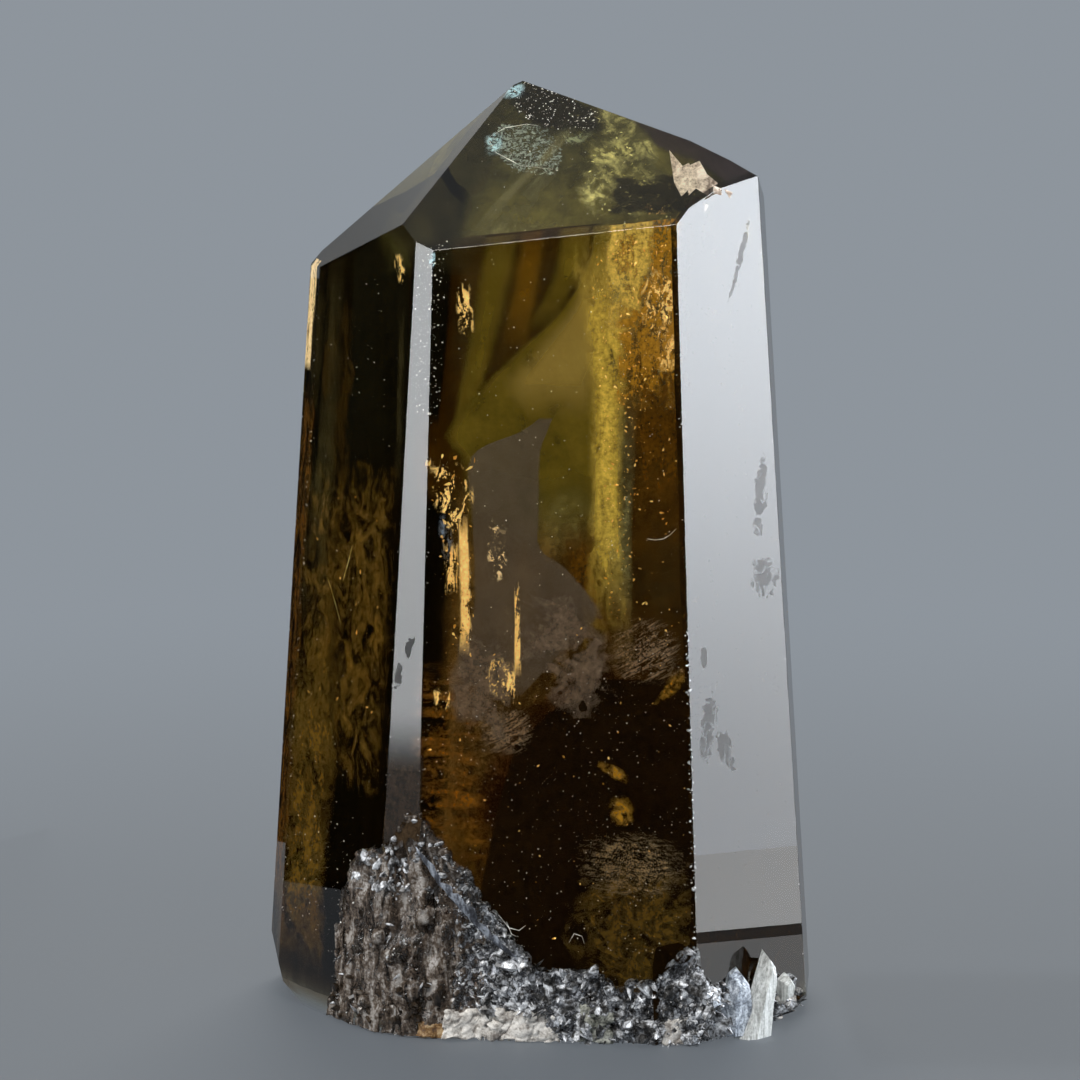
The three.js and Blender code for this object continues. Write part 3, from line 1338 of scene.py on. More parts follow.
OLIVE_CORE = VeilFinish(
    "olive_core", (0.19, 0.125, 0.026), (0.27, 0.19, 0.045), patch=(9, 12, 26), grain=4.0, cover=(0.0, 0.3),
    painted_glow=0.5, most=0.86, edge=0.34, ragged=0.06, warp=0.3, lean=-32.0, speckle=0.05,
)
GREY_ROUGH = VeilFinish(
    "grey_rough", (0.014, 0.008, 0.004), (0.22, 0.16, 0.115), patch=(4.6, 4.6, 4.6), grain=0.9,
    cover=(0.40, 0.50), painted_glow=0.38, most=0.82, edge=0.25, ragged=0.8, warp=0.7, speckle=0.3, oval=True,
)
RIPPLE = VeilFinish(
    "ripple", (0.02, 0.010, 0.004), (0.30, 0.21, 0.13), patch=(5, 5, 0.7), grain=0.4, cover=(0.42, 0.58),
    painted_glow=0.4, most=0.8, edge=0.25, ragged=0.6, warp=1.6, lean=-28.0, oval=True,
)
AMBER_BANDS = VeilFinish(
    "amber_bands", (0.02, 0.007, 0.001), (0.34, 0.14, 0.014), patch=(9, 9, 1.8), grain=0.9,
    cover=(0.36, 0.66), painted_glow=0.35, most=0.76, ragged=0.3, warp=0.7,
)
SPECKLED = VeilFinish(
    "speckled", (0.03, 0.016, 0.005), (0.36, 0.26, 0.14), patch=(1.7, 1.7, 0.55), grain=0.22,
    cover=(0.44, 0.62), painted_glow=0.36, most=0.8, warp=0.8, lean=6.0, speckle=1.5, oval=True,
)
OLIVE_BROWN = VeilFinish(
    "olive_brown", (0.018, 0.008, 0.001), (0.21, 0.125, 0.022), patch=(5, 5, 8), grain=1.0,
    cover=(0.26, 0.60), painted_glow=0.38, most=0.85, ragged=0.4, warp=1.0,
)
OLIVE_LOW = VeilFinish(
    "olive_low", (0.018, 0.008, 0.001), (0.15, 0.092, 0.018), patch=(3.6, 3.6, 3.6), grain=0.9,
    cover=(0.30, 0.58), painted_glow=0.36, most=0.9, ragged=0.7, warp=1.6, lean=-30.0, speckle=0.5, oval=True,
)
GOLD_LEAF = VeilFinish(
    "gold_leaf", (0.36, 0.17, 0.02), (1.0, 0.70, 0.26), patch=(1.7, 1.7, 5.2), grain=0.4,
    cover=(0.525, 0.56), painted_glow=0.7, most=1.0, ragged=0.9, warp=1.6, lean=8.0, speckle=0.5, metal=0.4,
    oval=True,
)
LONG_LEAF = VeilFinish(
    "long_leaf", (0.42, 0.20, 0.025), (1.0, 0.68, 0.25), patch=(1.2, 1.2, 12.0), grain=0.5,
    cover=(0.44, 0.50), painted_glow=0.7, most=1.0, warp=0.8, lean=3.0, speckle=0.4, metal=0.4,
)
PALE_LEAF = VeilFinish(
    "pale_leaf", (0.40, 0.26, 0.10), (0.95, 0.74, 0.42), patch=(1.3, 1.3, 2.4), grain=0.4,
    cover=(0.53, 0.59), painted_glow=0.5, ragged=0.9, warp=1.4, lean=-20.0, speckle=0.5, metal=0.3, oval=True,
)
AMBER_GLOW = VeilFinish(
    "amber_glow", (0.20, 0.085, 0.006), (0.50, 0.27, 0.03), patch=(2, 2, 2.4), grain=1.0,
    cover=(0.36, 0.62), most=0.8, edge=0.4, ragged=0.4, oval=True,
)
BLUE_WISP = VeilFinish(
    "blue_wisp", (0.10, 0.13, 0.2), (0.4, 0.5, 0.65), patch=(0.8, 0.8, 4), grain=0.6, cover=(0.42, 0.66),
    painted_glow=0.3, most=0.5, edge=0.4, ragged=0.4, oval=True,
)
OLIVE_FIBRE = VeilFinish(
    "olive_fibre", (0.016, 0.009, 0.001), (0.27, 0.155, 0.026), patch=(5, 5, 10), grain=1.4,
    cover=(0.32, 0.70), painted_glow=0.42, most=0.72, warp=2.2, lean=-8.0, speckle=0.45,
)
OLIVE_STREAK = VeilFinish(
    "olive_streak", (0.018, 0.015, 0.007), (0.075, 0.062, 0.026), patch=(3, 3, 34), grain=3.0,
    cover=(0.3, 0.62), painted_glow=0.36, most=0.8, edge=0.45, ragged=0.1, warp=0.1, speckle=0.1,
)
# A bright glowing orange film: painted light for the lamp light that shines through the crystal's thin left
# edge.
EDGE_LIGHT_STRIP = VeilFinish(
    "edge_orange", (0.42, 0.24, 0.06), (1.0, 0.80, 0.46), patch=(1.2, 1.2, 12), grain=0.5,
    cover=(0.28, 0.5), painted_glow=0.9, edge=0.16, ragged=0.3, warp=0.4,
)
EDGE_BROWN = VeilFinish(
    "edge_brown", (0.012, 0.006, 0.001), (0.20, 0.085, 0.012), patch=(2, 2, 7), grain=0.7,
    cover=(0.38, 0.6), painted_glow=0.35, most=0.85, edge=0.2, ragged=0.4,
)
POINT_OLIVE = VeilFinish(
    "point_olive", (0.035, 0.03, 0.009), (0.17, 0.15, 0.045), patch=(7, 9, 30), grain=4.0,
    cover=(0.16, 0.5), most=0.9, edge=0.2, ragged=0.1, warp=0.2, lean=34.0, speckle=0.05,
)
APEX_SMOKE = VeilFinish(
    "apex_smoke", (0.010, 0.009, 0.004), (0.095, 0.083, 0.028), patch=(5, 6, 14), grain=1.5,
    cover=(0.3, 0.56), painted_glow=0.4, ragged=0.3, warp=0.3, lean=-30.0, speckle=0.15,
)
POINT_CLOUD = VeilFinish(
    "point_cloud", (0.09, 0.082, 0.012), (0.86, 0.80, 0.36), patch=(2.6, 2.6, 5.0), grain=0.8,
    cover=(0.30, 0.60), painted_glow=0.6, most=0.9, edge=0.34, warp=0.8, lean=-30.0, speckle=0.35,
)
POINT_DARK = VeilFinish(
    "point_dark", (0.003, 0.002, 0.001), (0.03, 0.022, 0.008), patch=(2.4, 2.4, 2.4), grain=0.7,
    cover=(0.28, 0.42), painted_glow=0.3, edge=0.2,
)
PALE_GREEN = VeilFinish(
    "pale_green", (0.12, 0.13, 0.07), (0.42, 0.46, 0.28), patch=(2, 2, 2), grain=0.5, cover=(0.42, 0.6),
    painted_glow=0.36, most=0.8, ragged=0.6, oval=True,
)
# A glowing cyan-white film: painted highlights by the apex and on a chip.
CYAN_HIGHLIGHT = VeilFinish(
    "ice", (0.10, 0.2, 0.22), (0.62, 0.85, 0.9), patch=(1.4, 1.4, 1.0), grain=0.4, cover=(0.36, 0.58),
    painted_glow=0.6, most=0.9, edge=0.4, oval=True,
)
FEATHER = VeilFinish(
    "feather", (0.10, 0.12, 0.10), (0.44, 0.5, 0.43), patch=(1.2, 1.2, 0.8), grain=0.35, cover=(0.42, 0.60),
    painted_glow=0.34, most=0.75, edge=0.1, warp=1.2,
)
# A dark, almost opaque film: painted shade.
RIGHT_FACET_SHADE = VeilFinish(
    "right_brown", (0.002, 0.001, 0.0003), (0.026, 0.012, 0.002), patch=(3.5, 3.5, 9), grain=0.8,
    cover=(0.10, 0.34), painted_glow=0.2, most=0.97, edge=0.12, ragged=0.3,
)
BACK_SMOKE = VeilFinish(
    "back_smoke", (0.006, 0.003, 0.0008), (0.09, 0.05, 0.009), patch=(8, 8, 15), grain=1.0,
    cover=(0.40, 0.62), painted_glow=0.25, most=0.6, edge=0.2, ragged=0.4, warp=0.8,
)

GOLD_FLECK = FleckFinish("gold_fleck", (0.55, 0.26, 0.04), (1.0, 0.68, 0.22), painted_glow=0.55, metal=0.6)
POINT_FLECK = FleckFinish("point_fleck", (0.25, 0.22, 0.04), (0.85, 0.8, 0.36), painted_glow=0.45, metal=0.3)
WHITE_SPECK = FleckFinish(
    "white_speck", (0.4, 0.38, 0.34), (0.95, 0.95, 0.92), painted_glow=0.6, metal=0.0, rough=0.5,
)
CLEAR_CHIP = FleckFinish(
    "clear_chip", (0.25, 0.26, 0.26), (0.9, 0.92, 0.95), painted_glow=0.35, metal=0.0, rough=0.25, patch=0.8,
)


class Inclusions:
    """Everything sealed in the crystal."""

    def __init__(self, scatterer: Scatterer) -> None:
        """Keeps the shared scatterer."""
        self.scatterer = scatterer

    def build(self) -> None:
        """Makes the zones, the films and the flecks."""
        for zone in self.zones():
            zone.build()
        veils = [*self.front_veils(), *self.left_veils(), *self.point_veils(), *self.other_veils()]
        for seed, veil in enumerate(veils):
            veil.build(seed)
        self.flecks()
        self.shards()
        self.fibres()

    def zones(self) -> list[GhostZone | SmokeDome]:
        """The browner ghost crystal and the smoky dome."""
        ghost = ZoneFinish("ghost_brown", (0.62, 0.36, 0.12, 1.0), 34.0)
        dome = ZoneFinish("dome_smoke", (0.50, 0.28, 0.10, 1.0), 98.0)
        tops = (Facet(-50.0, 72.0, 88.0), Facet(84.0, 52.0, 62.0), Facet(178.0, 60.0, 84.0))
        return [
            GhostZone("ghost_zone", ghost, tops),
            SmokeDome("smoke_dome", dome, (13.0, -10.5, 21.0), (25.0, 20.5, 36.0)),
            SmokeDome("left_root_smoke", dome, (-27.0, -3.0, 4.0), (19.0, 25.0, 17.0), 0.08, 1.2, 1.0),
        ]

    def front_veils(self) -> list[Veil]:
        """The films behind the front facet."""
        front = Side.FRONT
        return [
            film("deep_smoke", front, BACK_SMOKE, 34, (124, -17, 24), (90, -17, 24, 36), (50, -18, 25),
                 (12, -18, 26), ripple=3.0, pitch=2.0),
            film("upper_smoke", front, BROWN_SMOKE, 6.6, (136, -19, 13), (124, -18, 12), (112, -18, 12),
                 (98, -18, 12), (84, -18, 12), ripple=0.4, below_ridge=True),
            # band_a, band_b and band_c paint the refraction images of the back facets' edges: painted
            # refraction.
            film("band_a", front, BAND_OLIVE, 5, (133, -5.6, 0.6), (123, -8, -1.6), (110.6, -10.2, -4.2),
                 (99.7, -12, -7.6), (90, -13, -9), ripple=0.2, below_ridge=True),
            film("band_b", front, BAND_ORANGE, 5.3, (133, -0.8, 4.2), (123.6, -2.4, 2.8), (115.3, -4, 1.4),
                 (105, -6, -1), ripple=0.2, below_ridge=True),
            film("band_c", front, BAND_OLIVE, 5.6, (133, 4.6, 10.6), (123.6, 3.4, 9.4), (117, 1.8, 7),
                 (110, -2, 2), ripple=0.2, below_ridge=True),
            film("olive_band", front, OLIVE_HAZE, 4.8, (134, 10, 16), (124, 9.4, 14), (119, 7.6, 13),
                 (116.4, 6, 12.5), (112.2, 2.4, 12.5), (109, -1.4, 12.5), (104.4, -6.2, 12.5),
                 (100, -10.2, 12.5), (95, -13.6, 12.5), (90, -11, 12.5), (76, -10, 12, 4.9), ripple=0.1,
                 below_ridge=True),
            film("olive_core", front, OLIVE_CORE, 4.6, (126, 8, 14), (116, 6, 14), (109, 0, 13.5),
                 (103, -5, 12), (97, 0, 9), ripple=0.2, below_ridge=True),
            film("brown_right", front, BROWN_SMOKE, 5.5, (100, 16, 25.4), (78, 15, 25.8, 6),
                 (56, 16, 26.2, 7), ripple=1.5),
            film("gold_brown", front, GOLD_BROWN, 5.2, (128, 13.5, 26), (108, 13, 26), (92, 13.5, 26.4),
                 (70, 14.5, 27), ripple=0.6, pitch=0.6, below_ridge=True),
            film("amber_block", front, AMBER_BLOCK, 4.1, (138, 13, 25), (124.4, 13, 25), (112, 13, 25),
                 (99, 13, 25), ripple=0.4, pitch=0.5, below_ridge=True),
            film("amber_flakes", front, GOLD_LEAF, 3.7, (121, 17, 23.6), (105, 17, 24), ripple=0.6,
                 pitch=0.4),
            film("gold_block", front, GOLD_CLOUD, 4, (138, 11, 20), (124.4, 11, 19.4), (118, 11.4, 18),
                 (110, 11.4, 16.4), ripple=0.4, pitch=0.5, below_ridge=True),
            film("gold_cloud", front, GOLD_COLUMN, 4.3, (132, 5.6, 17), (122, 5.8, 17.4), (114, 7, 16.6),
                 (105, 8.2, 15.8), (99.7, 8.6, 15.2), (90.4, 8.8, 14.8), (80, 8.8, 15, 4.4),
                 (70.6, 8.4, 15.4, 4.4), (60, 8, 16, 4.5), ripple=0.3, pitch=0.5, below_ridge=True),
            film("brown_gold", front, GOLD_BROWN, 4.7, (84, 5, 10.5), (76, 4, 11.5), (68, 6, 13),
                 (59, 9, 14.5), ripple=0.1, pitch=0.7),
            film("grey_window", front, GREY_WINDOW, 4.4, (97.9, 1.6, 3.6), (95.6, -1.6, 2.7),
                 (91.6, -9.4, 1.7), (82.5, -9.2, 1.6), (77.5, -9, 1.8), (74, -9, 6.2), (67.4, -9.2, 10.9),
                 (61.3, -11.6, 5.2), (54, -10, -1.6), ripple=0.1),
            film("dome_shade", front, DOME_SHADE, 4.2, (57.2, 12, 20), (56.2, 9.6, 28), (53.2, 4.8, 28),
                 (50.8, 1.7, 28), (46.8, -2.2, 28), (42.8, -3.6, 28), (39.6, -4.6, 28), (30.9, -6.4, 28),
                 (21.3, -8.4, 28), (4, -11, 28), ripple=0.3),
            film("root_shade", front, FULL_SHADE, 4.6, (18, -6, 30), (12, -12, 30), (-6, -14, 30),
                 ripple=0.2),
            film("rough_left", front, GREY_ROUGH, 3.8, (64, -13, -2), (47, -12, 0), ripple=0.5, pitch=0.6),
            film("rough_middle", front, GREY_ROUGH, 3.8, (71, -3, 12), (61, -2, 14), (51, 1, 15),
                 ripple=0.5, pitch=0.6),
            film("ripple_left", front, RIPPLE, 3.6, (53, -8, 0.8), (45, -8, 0.8), ripple=0.8, pitch=0.7),
            film("ripple_right", front, RIPPLE, 3.6, (67, 12, 23.4), (56.5, 12.6, 24), ripple=0.8,
                 pitch=0.7),
            film("amber_low", front, AMBER_BANDS, 6, (60, -18, -6), (44, -18.2, -7.4), (27, -18.4, -4.5),
                 ripple=1.0),
            film("speckled_band", front, SPECKLED, 3.4, (33.4, 6.5, 25.4), (22.6, 7.5, 25.4), pitch=0.7),
            film("olive_low", front, OLIVE_LOW, 3.9, (29, 5, 28), (6, 5, 28), ripple=0.5),
            film("brown_left_low", front, OLIVE_BROWN, 12, (34, -16, 4), (14, -6, 8)),
            # black_column: a near-black film down the front facet's left edge, painted shade.
            film("black_column", front, PAINTED_BLACK_SHADE, 4, (128, -18.2, -11.6), (112, -18.2, -12.4),
                 (96, -18.4, -14.2), ripple=0.5, below_ridge=True),
            film("gold_glow", front, AMBER_GLOW, 3.6, (39.4, 12.0, 16.6), (33.6, 12.2, 16.6), ripple=0.8,
                 pitch=0.5),
            film("gold_line", front, AMBER_GLOW, 3.4, (44.6, 8.8, 12.5), (43, 11, 15), (41, 13.5, 16.6),
                 ripple=0.5, pitch=0.4),
            film("gold_cluster", front, GOLD_LEAF, 3, (91.5, -15.8, -9.4), (86, -15.5, -8.6),
                 (80, -13.2, -8.6), pitch=0.5),
            film("gold_streak", front, LONG_LEAF, 3.4, (83, -11.2, -9.6), (72, -11, -9.1), (61, -11, -8.8),
                 ripple=0.5, pitch=0.4),
            film("gold_side_streak", front, LONG_LEAF, 4, (78.4, -13.6, -11), (70, -13.4, -11, 4.2),
                 ripple=0.5, pitch=0.4),
            film("pale_cluster", front, PALE_LEAF, 3.8, (82.4, -6.6, -3.2), (72.4, -6.8, -3.6), ripple=0.8,
                 pitch=0.4),
            film("thin_streak", front, LONG_LEAF, 3.4, (73, -2.5, -1.5), (57.6, -2.4, -1.2), ripple=0.3,
                 pitch=0.3),
            film("gold_blob", front, GOLD_LEAF, 3.2, (60.5, -6.8, -2.2), (57, -6.6, -1.6),
                 (53.4, -5.4, -1.2), ripple=1.4, pitch=0.4),
            film("small_gold", front, GOLD_LEAF, 3, (55.8, -15, -11.8), (52.3, -14.8, -12, 3.2), ripple=0.8,
                 pitch=0.4),
            film("top_flakes", front, GOLD_LEAF, 3, (118.5, -11.8, -9), (110, -11.2, -8.6, 3.2), ripple=0.6,
                 pitch=0.4),
            film("bright_chip", front, GOLD_LEAF, 5, (110.6, 20.2, 22.6), (104, 20.4, 22.9), ripple=0.8,
                 pitch=0.4),
            film("yellow_feather", front, AMBER_GLOW, 4, (59.4, 22.2, 25), (56, 20.4, 23.8),
                 (53.2, 18.4, 20.6), ripple=0.5, pitch=0.4),
            film("blue_wisp", front, BLUE_WISP, 3, (83.5, -14.8, -12.4), (75, -13.8, -11.2), ripple=0.6,
                 pitch=0.4),
        ]

    def left_veils(self) -> list[Veil]:
        """The films behind the left facet and its bevel."""
        left, bevel = Side.LEFT, Side.LEFT_BEVEL
        return [
            # A near-black film deep behind the left facet: painted shade that keeps the left facet and the
            # point's left side dark.
            film("left_smoke", left, FULL_SHADE, 11, (148, -32, 8.4, 9), (90, -33, 8.8), (50, -34, 9.4),
                 (-6, -35, 10), ripple=0.8, pitch=2.0),
            film("left_grey_streak", left, OLIVE_STREAK, 6, (126, -25, -14.5), (84, -25, -14.5),
                 (56, -26, -16), ripple=0.8, pitch=1.5),
            film("left_gold_streak", left, OLIVE_STREAK, 5, (118, 0.4, 3.2), (84, 2.4, 5.0), ripple=0.6),
            film("left_feather", left, GOLD_LEAF, 3, (123, 0.2, 3.4), (117.8, 1.2, 4.0), ripple=0.8,
                 pitch=0.4),
            film("left_fibres", left, OLIVE_FIBRE, 5, (89, -25, 3.5), (62, -25, 4, 5.5), (36, -25.5, 4, 6),
                 ripple=1.8),
            film("left_low_brown", left, OLIVE_BROWN, 4, (60, -25, -8), (30, -26, -9), (4, -26, -10)),
            film("bevel_brown", Side.FRONT_BEVEL, BEVEL_BROWN, 0.3, (46, -12, 2), (38, -12, 2),
                 (30, -13, 3), ripple=0.2),
            # A chip on the narrow facet; its cyan-white is a painted highlight.
            film("bevel_chip", Side.FRONT_BEVEL, CYAN_HIGHLIGHT, 0.3, (123.8, -1.9, 0.2), (120.8, -1.7, 0),
                 ripple=0.05, pitch=0.3),
            # A glowing orange strip behind the left bevel: painted light shining through the thin edge.
            film("left_edge_orange", bevel, EDGE_LIGHT_STRIP, 1.2, (124, -16, -11), (112, -16, -11.2),
                 (103, -16.4, -11.8), ripple=0.3, pitch=0.6),
            film("left_edge_brown", bevel, EDGE_BROWN, 1.6, (101, -15.8, -9.2), (60, -17, -9.8),
                 (8, -18, -10), ripple=0.4, pitch=0.8),
        ]

    def point_veils(self) -> list[Veil]:
        """The films behind the point's front facet."""
        point = Side.POINT_FRONT
        return [
            film("point_olive", point, POINT_OLIVE, 9, (149, -20, 16), (138, -22, 26, 10),
                 (128, -22, 34, 11), (119, -21, 34, 12), ripple=2.0, pitch=1.5),
            film("point_shade", point, POINT_SHADE, 3, (150, -14, -2), (144, -17, -3), (136, -23, -2),
                 (131, -26, -3.4), (124, -30, -4), (117, -33, -4), ripple=0.4),
            film("point_bands", point, POINT_BAND, 2.6, (144, 6, 9), (138, 2.5, 5.2), (131, -3.4, -0.6),
                 (122.6, -9, -5.6), ripple=0.2),
            film("ridge_dark", point, RIDGE_DARK, 5, (145, 10.5, 22), (142.1, 14.2, 30), (138.3, 18.6, 38),
                 (134.5, 27.2, 44), (131, 36, 46), ripple=0.3),
            film("point_cloud", point, POINT_CLOUD, 8, (145, 8, 15), (141, 9, 18.5), (136, 8.6, 20.5),
                 (131, 7.6, 22.5), (126, 10.5, 22), pitch=0.7),
            film("point_dark", point, POINT_DARK, 5, (133, 13, 27), (127.6, 12, 29, 4), pitch=0.8),
            film("apex_smoke", point, APEX_SMOKE, 4, (149.6, -16, 14), (144, -18, 22, 5), (137, -22, 28, 6),
                 (129, -24, 34, 7), ripple=0.8),
            film("apex_dark", point, POINT_DARK, 2, (150, -5, -1, 1.8), (146.4, -5.6, 7), (143.6, -3, 12.4),
                 (140.6, 2.4, 12), ripple=0.4, pitch=0.6),
            film("pale_patch", point, PALE_GREEN, 4, (143.4, 4.6, 11), (140.4, 3.2, 10.6),
                 (137.4, 4.4, 8.2), ripple=0.8, pitch=0.5),
            film("oval_feather", point, FEATHER, 3, (142, -5.2, 2), (139.2, -7, 4.4), (137.2, -5.4, 5.8),
                 (134.4, -1.6, 5), ripple=0.6, pitch=0.4),
            # This film and the next are painted highlights by the apex.
            film("cool_end", point, CYAN_HIGHLIGHT, 2.6, (140.8, -7.6, -4), (136.8, -7, -3.8), ripple=0.4, pitch=0.3),
            film("apex_glint", point, CYAN_HIGHLIGHT, 1, (149.2, -4.8, -1.9), (146.4, -5.8, -1.6), ripple=0.3,
                 pitch=0.3),
            film("gold_bit", point, GOLD_LEAF, 5, (129.2, 19, 23), (126.8, 19, 23), ripple=0.5, pitch=0.4),
        ]

    def other_veils(self) -> list[Veil]:
        """The films behind the right and the back facets."""
        return [
            # A dark film just under the whole right facet: painted shade that blocks the light seen through
            # that facet.
            film("right_smoke", Side.RIGHT, RIGHT_FACET_SHADE, 0.7, (150, -18, 30), (80, -18, 30), (18, -18, 30),
                 (15, -18, 30, 5), (-8, -19, 30, 5), ripple=0.1, pitch=1.6),
            film("right_side_smoke", Side.RIGHT_SIDE, BACK_SMOKE, 11, (124, -10, 12, 10), (70, -11, 13),
                 (-4, -12, 13), ripple=2.0, pitch=1.6),
            film("back_right_veil", Side.BACK_RIGHT, BACK_SMOKE, 8, (118, -14, 14, 7), (60, -15, 15),
                 (-4, -15, 15), ripple=2.0, pitch=1.6),
            film("back_veil", Side.BACK, BACK_SMOKE, 7, (116, -17, 17, 6), (60, -18, 18), (-4, -18, 18),
                 ripple=2.0, pitch=1.6),
            film("back_fibres", Side.BACK_LEFT, OLIVE_FIBRE, 6, (96, -12, 14), (50, -13, 14), (18, -13, 14),
                 ripple=2.0, pitch=1.4),
            film("left_side_smoke", Side.LEFT_SIDE, BACK_SMOKE, 10, (120, -12, 12, 9), (60, -13, 13),
                 (8, -13, 13), ripple=1.6, pitch=1.6),
        ]

    def flecks(self) -> None:
        """Gold flecks in the clouds and fine pale specks everywhere."""
        front, left, point = Side.FRONT, Side.LEFT, Side.POINT_FRONT
        table: list[tuple[Side, Rows, float, Scatter]] = [
            (front, [(125, 9, 24, 3.6), (112, 10, 23, 3.6), (95, 11, 18, 3.6), (66, 12, 15, 3.8)], 1.0,
             Scatter("cloud_flecks", "fleck", GOLD_FLECK, 0.9, (0.1, 0.6), 70, 4)),
            (front, [(124, 14, 24.4, 4), (104, 14, 24.6, 4), (84, 15, 25, 4), (62, 16, 25, 4)], 1.0,
             Scatter("brown_flecks", "fleck", GOLD_FLECK, 0.13, (0.1, 0.6), 60, 5)),
            (front, [(92, -16, -8.5, 3), (76, -14, -8.6, 4), (60, -12, -8, 4)], 1.0,
             Scatter("cluster_flecks", "fleck", GOLD_FLECK, 0.32, (0.12, 1.0), 60, 6)),
            (front, [(66, -17, 24, 2.6), (40, -17, 25, 2.6), (14, -9, 25, 2.6)], 1.0,
             Scatter("low_flecks", "fleck", GOLD_FLECK, 0.02, (0.1, 0.6), 60, 7)),
            (front, [(127, -17.4, 23.6, 0.5), (60, -18, 24.6, 0.5), (10, -14, 25.4, 0.5)], 0.1,
             Scatter("front_specks", "speck", WHITE_SPECK, 0.11, (0.06, 0.26), 60, 8)),
            (front, [(126, -17.6, -12.6, 2), (98, -17.6, -14, 2)], 1.0,
             Scatter("column_specks", "speck", WHITE_SPECK, 1.5, (0.08, 0.46), 60, 9)),
            (front, [(60, -17, 24, 2), (36, -17, 25, 2), (14, -8, 25, 2)], 1.4,
             Scatter("low_specks", "speck", WHITE_SPECK, 0.26, (0.05, 0.26), 60, 10)),
            (left, [(121, -19, 4.4, 0.6), (60, -21, 3.4, 0.6), (16, -23, 2, 0.6)], 0.1,
             Scatter("left_specks", "speck", WHITE_SPECK, 0.06, (0.06, 0.26), 60, 11)),
            (left, [(32, -24, 2, 1), (10, -23, 0, 1)], 0.8,
             Scatter("left_pits", "speck", WHITE_SPECK, 0.22, (0.08, 0.4), 60, 12)),
            (left, [(86, -20, 2, 4), (40, -22, 2, 5)], 1.6,
             Scatter("left_flecks", "fleck", GOLD_FLECK, 0.03, (0.1, 0.8), 60, 13)),
            (point, [(149, -3, 0, 1.3), (146, -4, 6, 1.4), (143.6, -2, 11, 1.4), (141.4, 4, 10, 1.4)], 0.3,
             Scatter("apex_specks", "speck", WHITE_SPECK, 2.4, (0.08, 0.5), 60, 14)),
            (point, [(138, -4, 3, 3), (134, -3, 6, 3)], 0.6,
             Scatter("feather_specks", "speck", WHITE_SPECK, 0.6, (0.1, 0.45), 60, 15)),
            (point, [(141, 8, 13, 6), (132, 9, 22, 6), (123, 13, 25, 6)], 1.8,
             Scatter("point_flecks", "fleck", POINT_FLECK, 0.3, (0.1, 0.6), 60, 16)),
            (point, [(146, -6, 8, 0.5), (130, -12, 26, 0.5), (122, -15, 28, 0.5)], 0.1,
             Scatter("point_specks", "speck", WHITE_SPECK, 0.06, (0.06, 0.24), 60, 17)),
        ]
        for side, rows, ripple, scatter in table:
            carrier = drape_mesh(scatter.name + "_carrier", side, rows, ripple, 1.5, scatter.seed)
            self.scatterer.over(carrier, scatter)
        self.edge_wear()

    def edge_wear(self) -> None:
        """Tiny bruises along the polished edges."""
        table = [
            (Side.FRONT, Side.RIGHT, 12, 66, 2.4, 0.75),
            (Side.FRONT, Side.RIGHT, 66, 124, 0.5, 0.35),
            (Side.FRONT_BEVEL, Side.FRONT, 20, 122, 0.5, 0.35),
            (Side.LEFT, Side.FRONT_BEVEL, 38, 124, 0.5, 0.35),
            (Side.LEFT_BEVEL, Side.LEFT, 10, 118, 0.9, 0.5),
            (Side.LEFT_SIDE, Side.LEFT_BEVEL, 10, 116, 0.9, 0.5),
            (Side.RIGHT, Side.RIGHT_BEVEL, 8, 128, 0.7, 0.45),
            (Side.BACK_RIGHT, Side.BACK, 10, 112, 0.7, 0.45),
            (Side.BACK, Side.BACK_LEFT, 10, 112, 0.7, 0.45),
            (Side.RIGHT_SIDE, Side.BACK_RIGHT, 10, 112, 0.7, 0.45),
        ]
        count, below, half_width = 24, 0.18, 0.45
        for index, (one, other, bottom, top, density, largest) in enumerate(table):
            points, faces = [], []
            for j in range(count + 1):
                up = bottom + (top - bottom) * j / count
                edge = one.value.inset(below).meets(other.value.inset(below), up)
                left, right = one.value.along * half_width * MM, other.value.along * half_width * MM
                points += [edge - left, edge, edge + right]
                if j < count:
                    k = 3 * j
                    faces += [(k, k + 1, k + 4, k + 3), (k + 1, k + 2, k + 5, k + 4)]
            ribbon = new_mesh(f"edge_{index}_carrier", points, faces)
            name, sizes = f"edge_chips_{index}", (0.08, largest)
            self.scatterer.over(ribbon, Scatter(name, "speck", CLEAR_CHIP, density, sizes, 50, 40 + index))

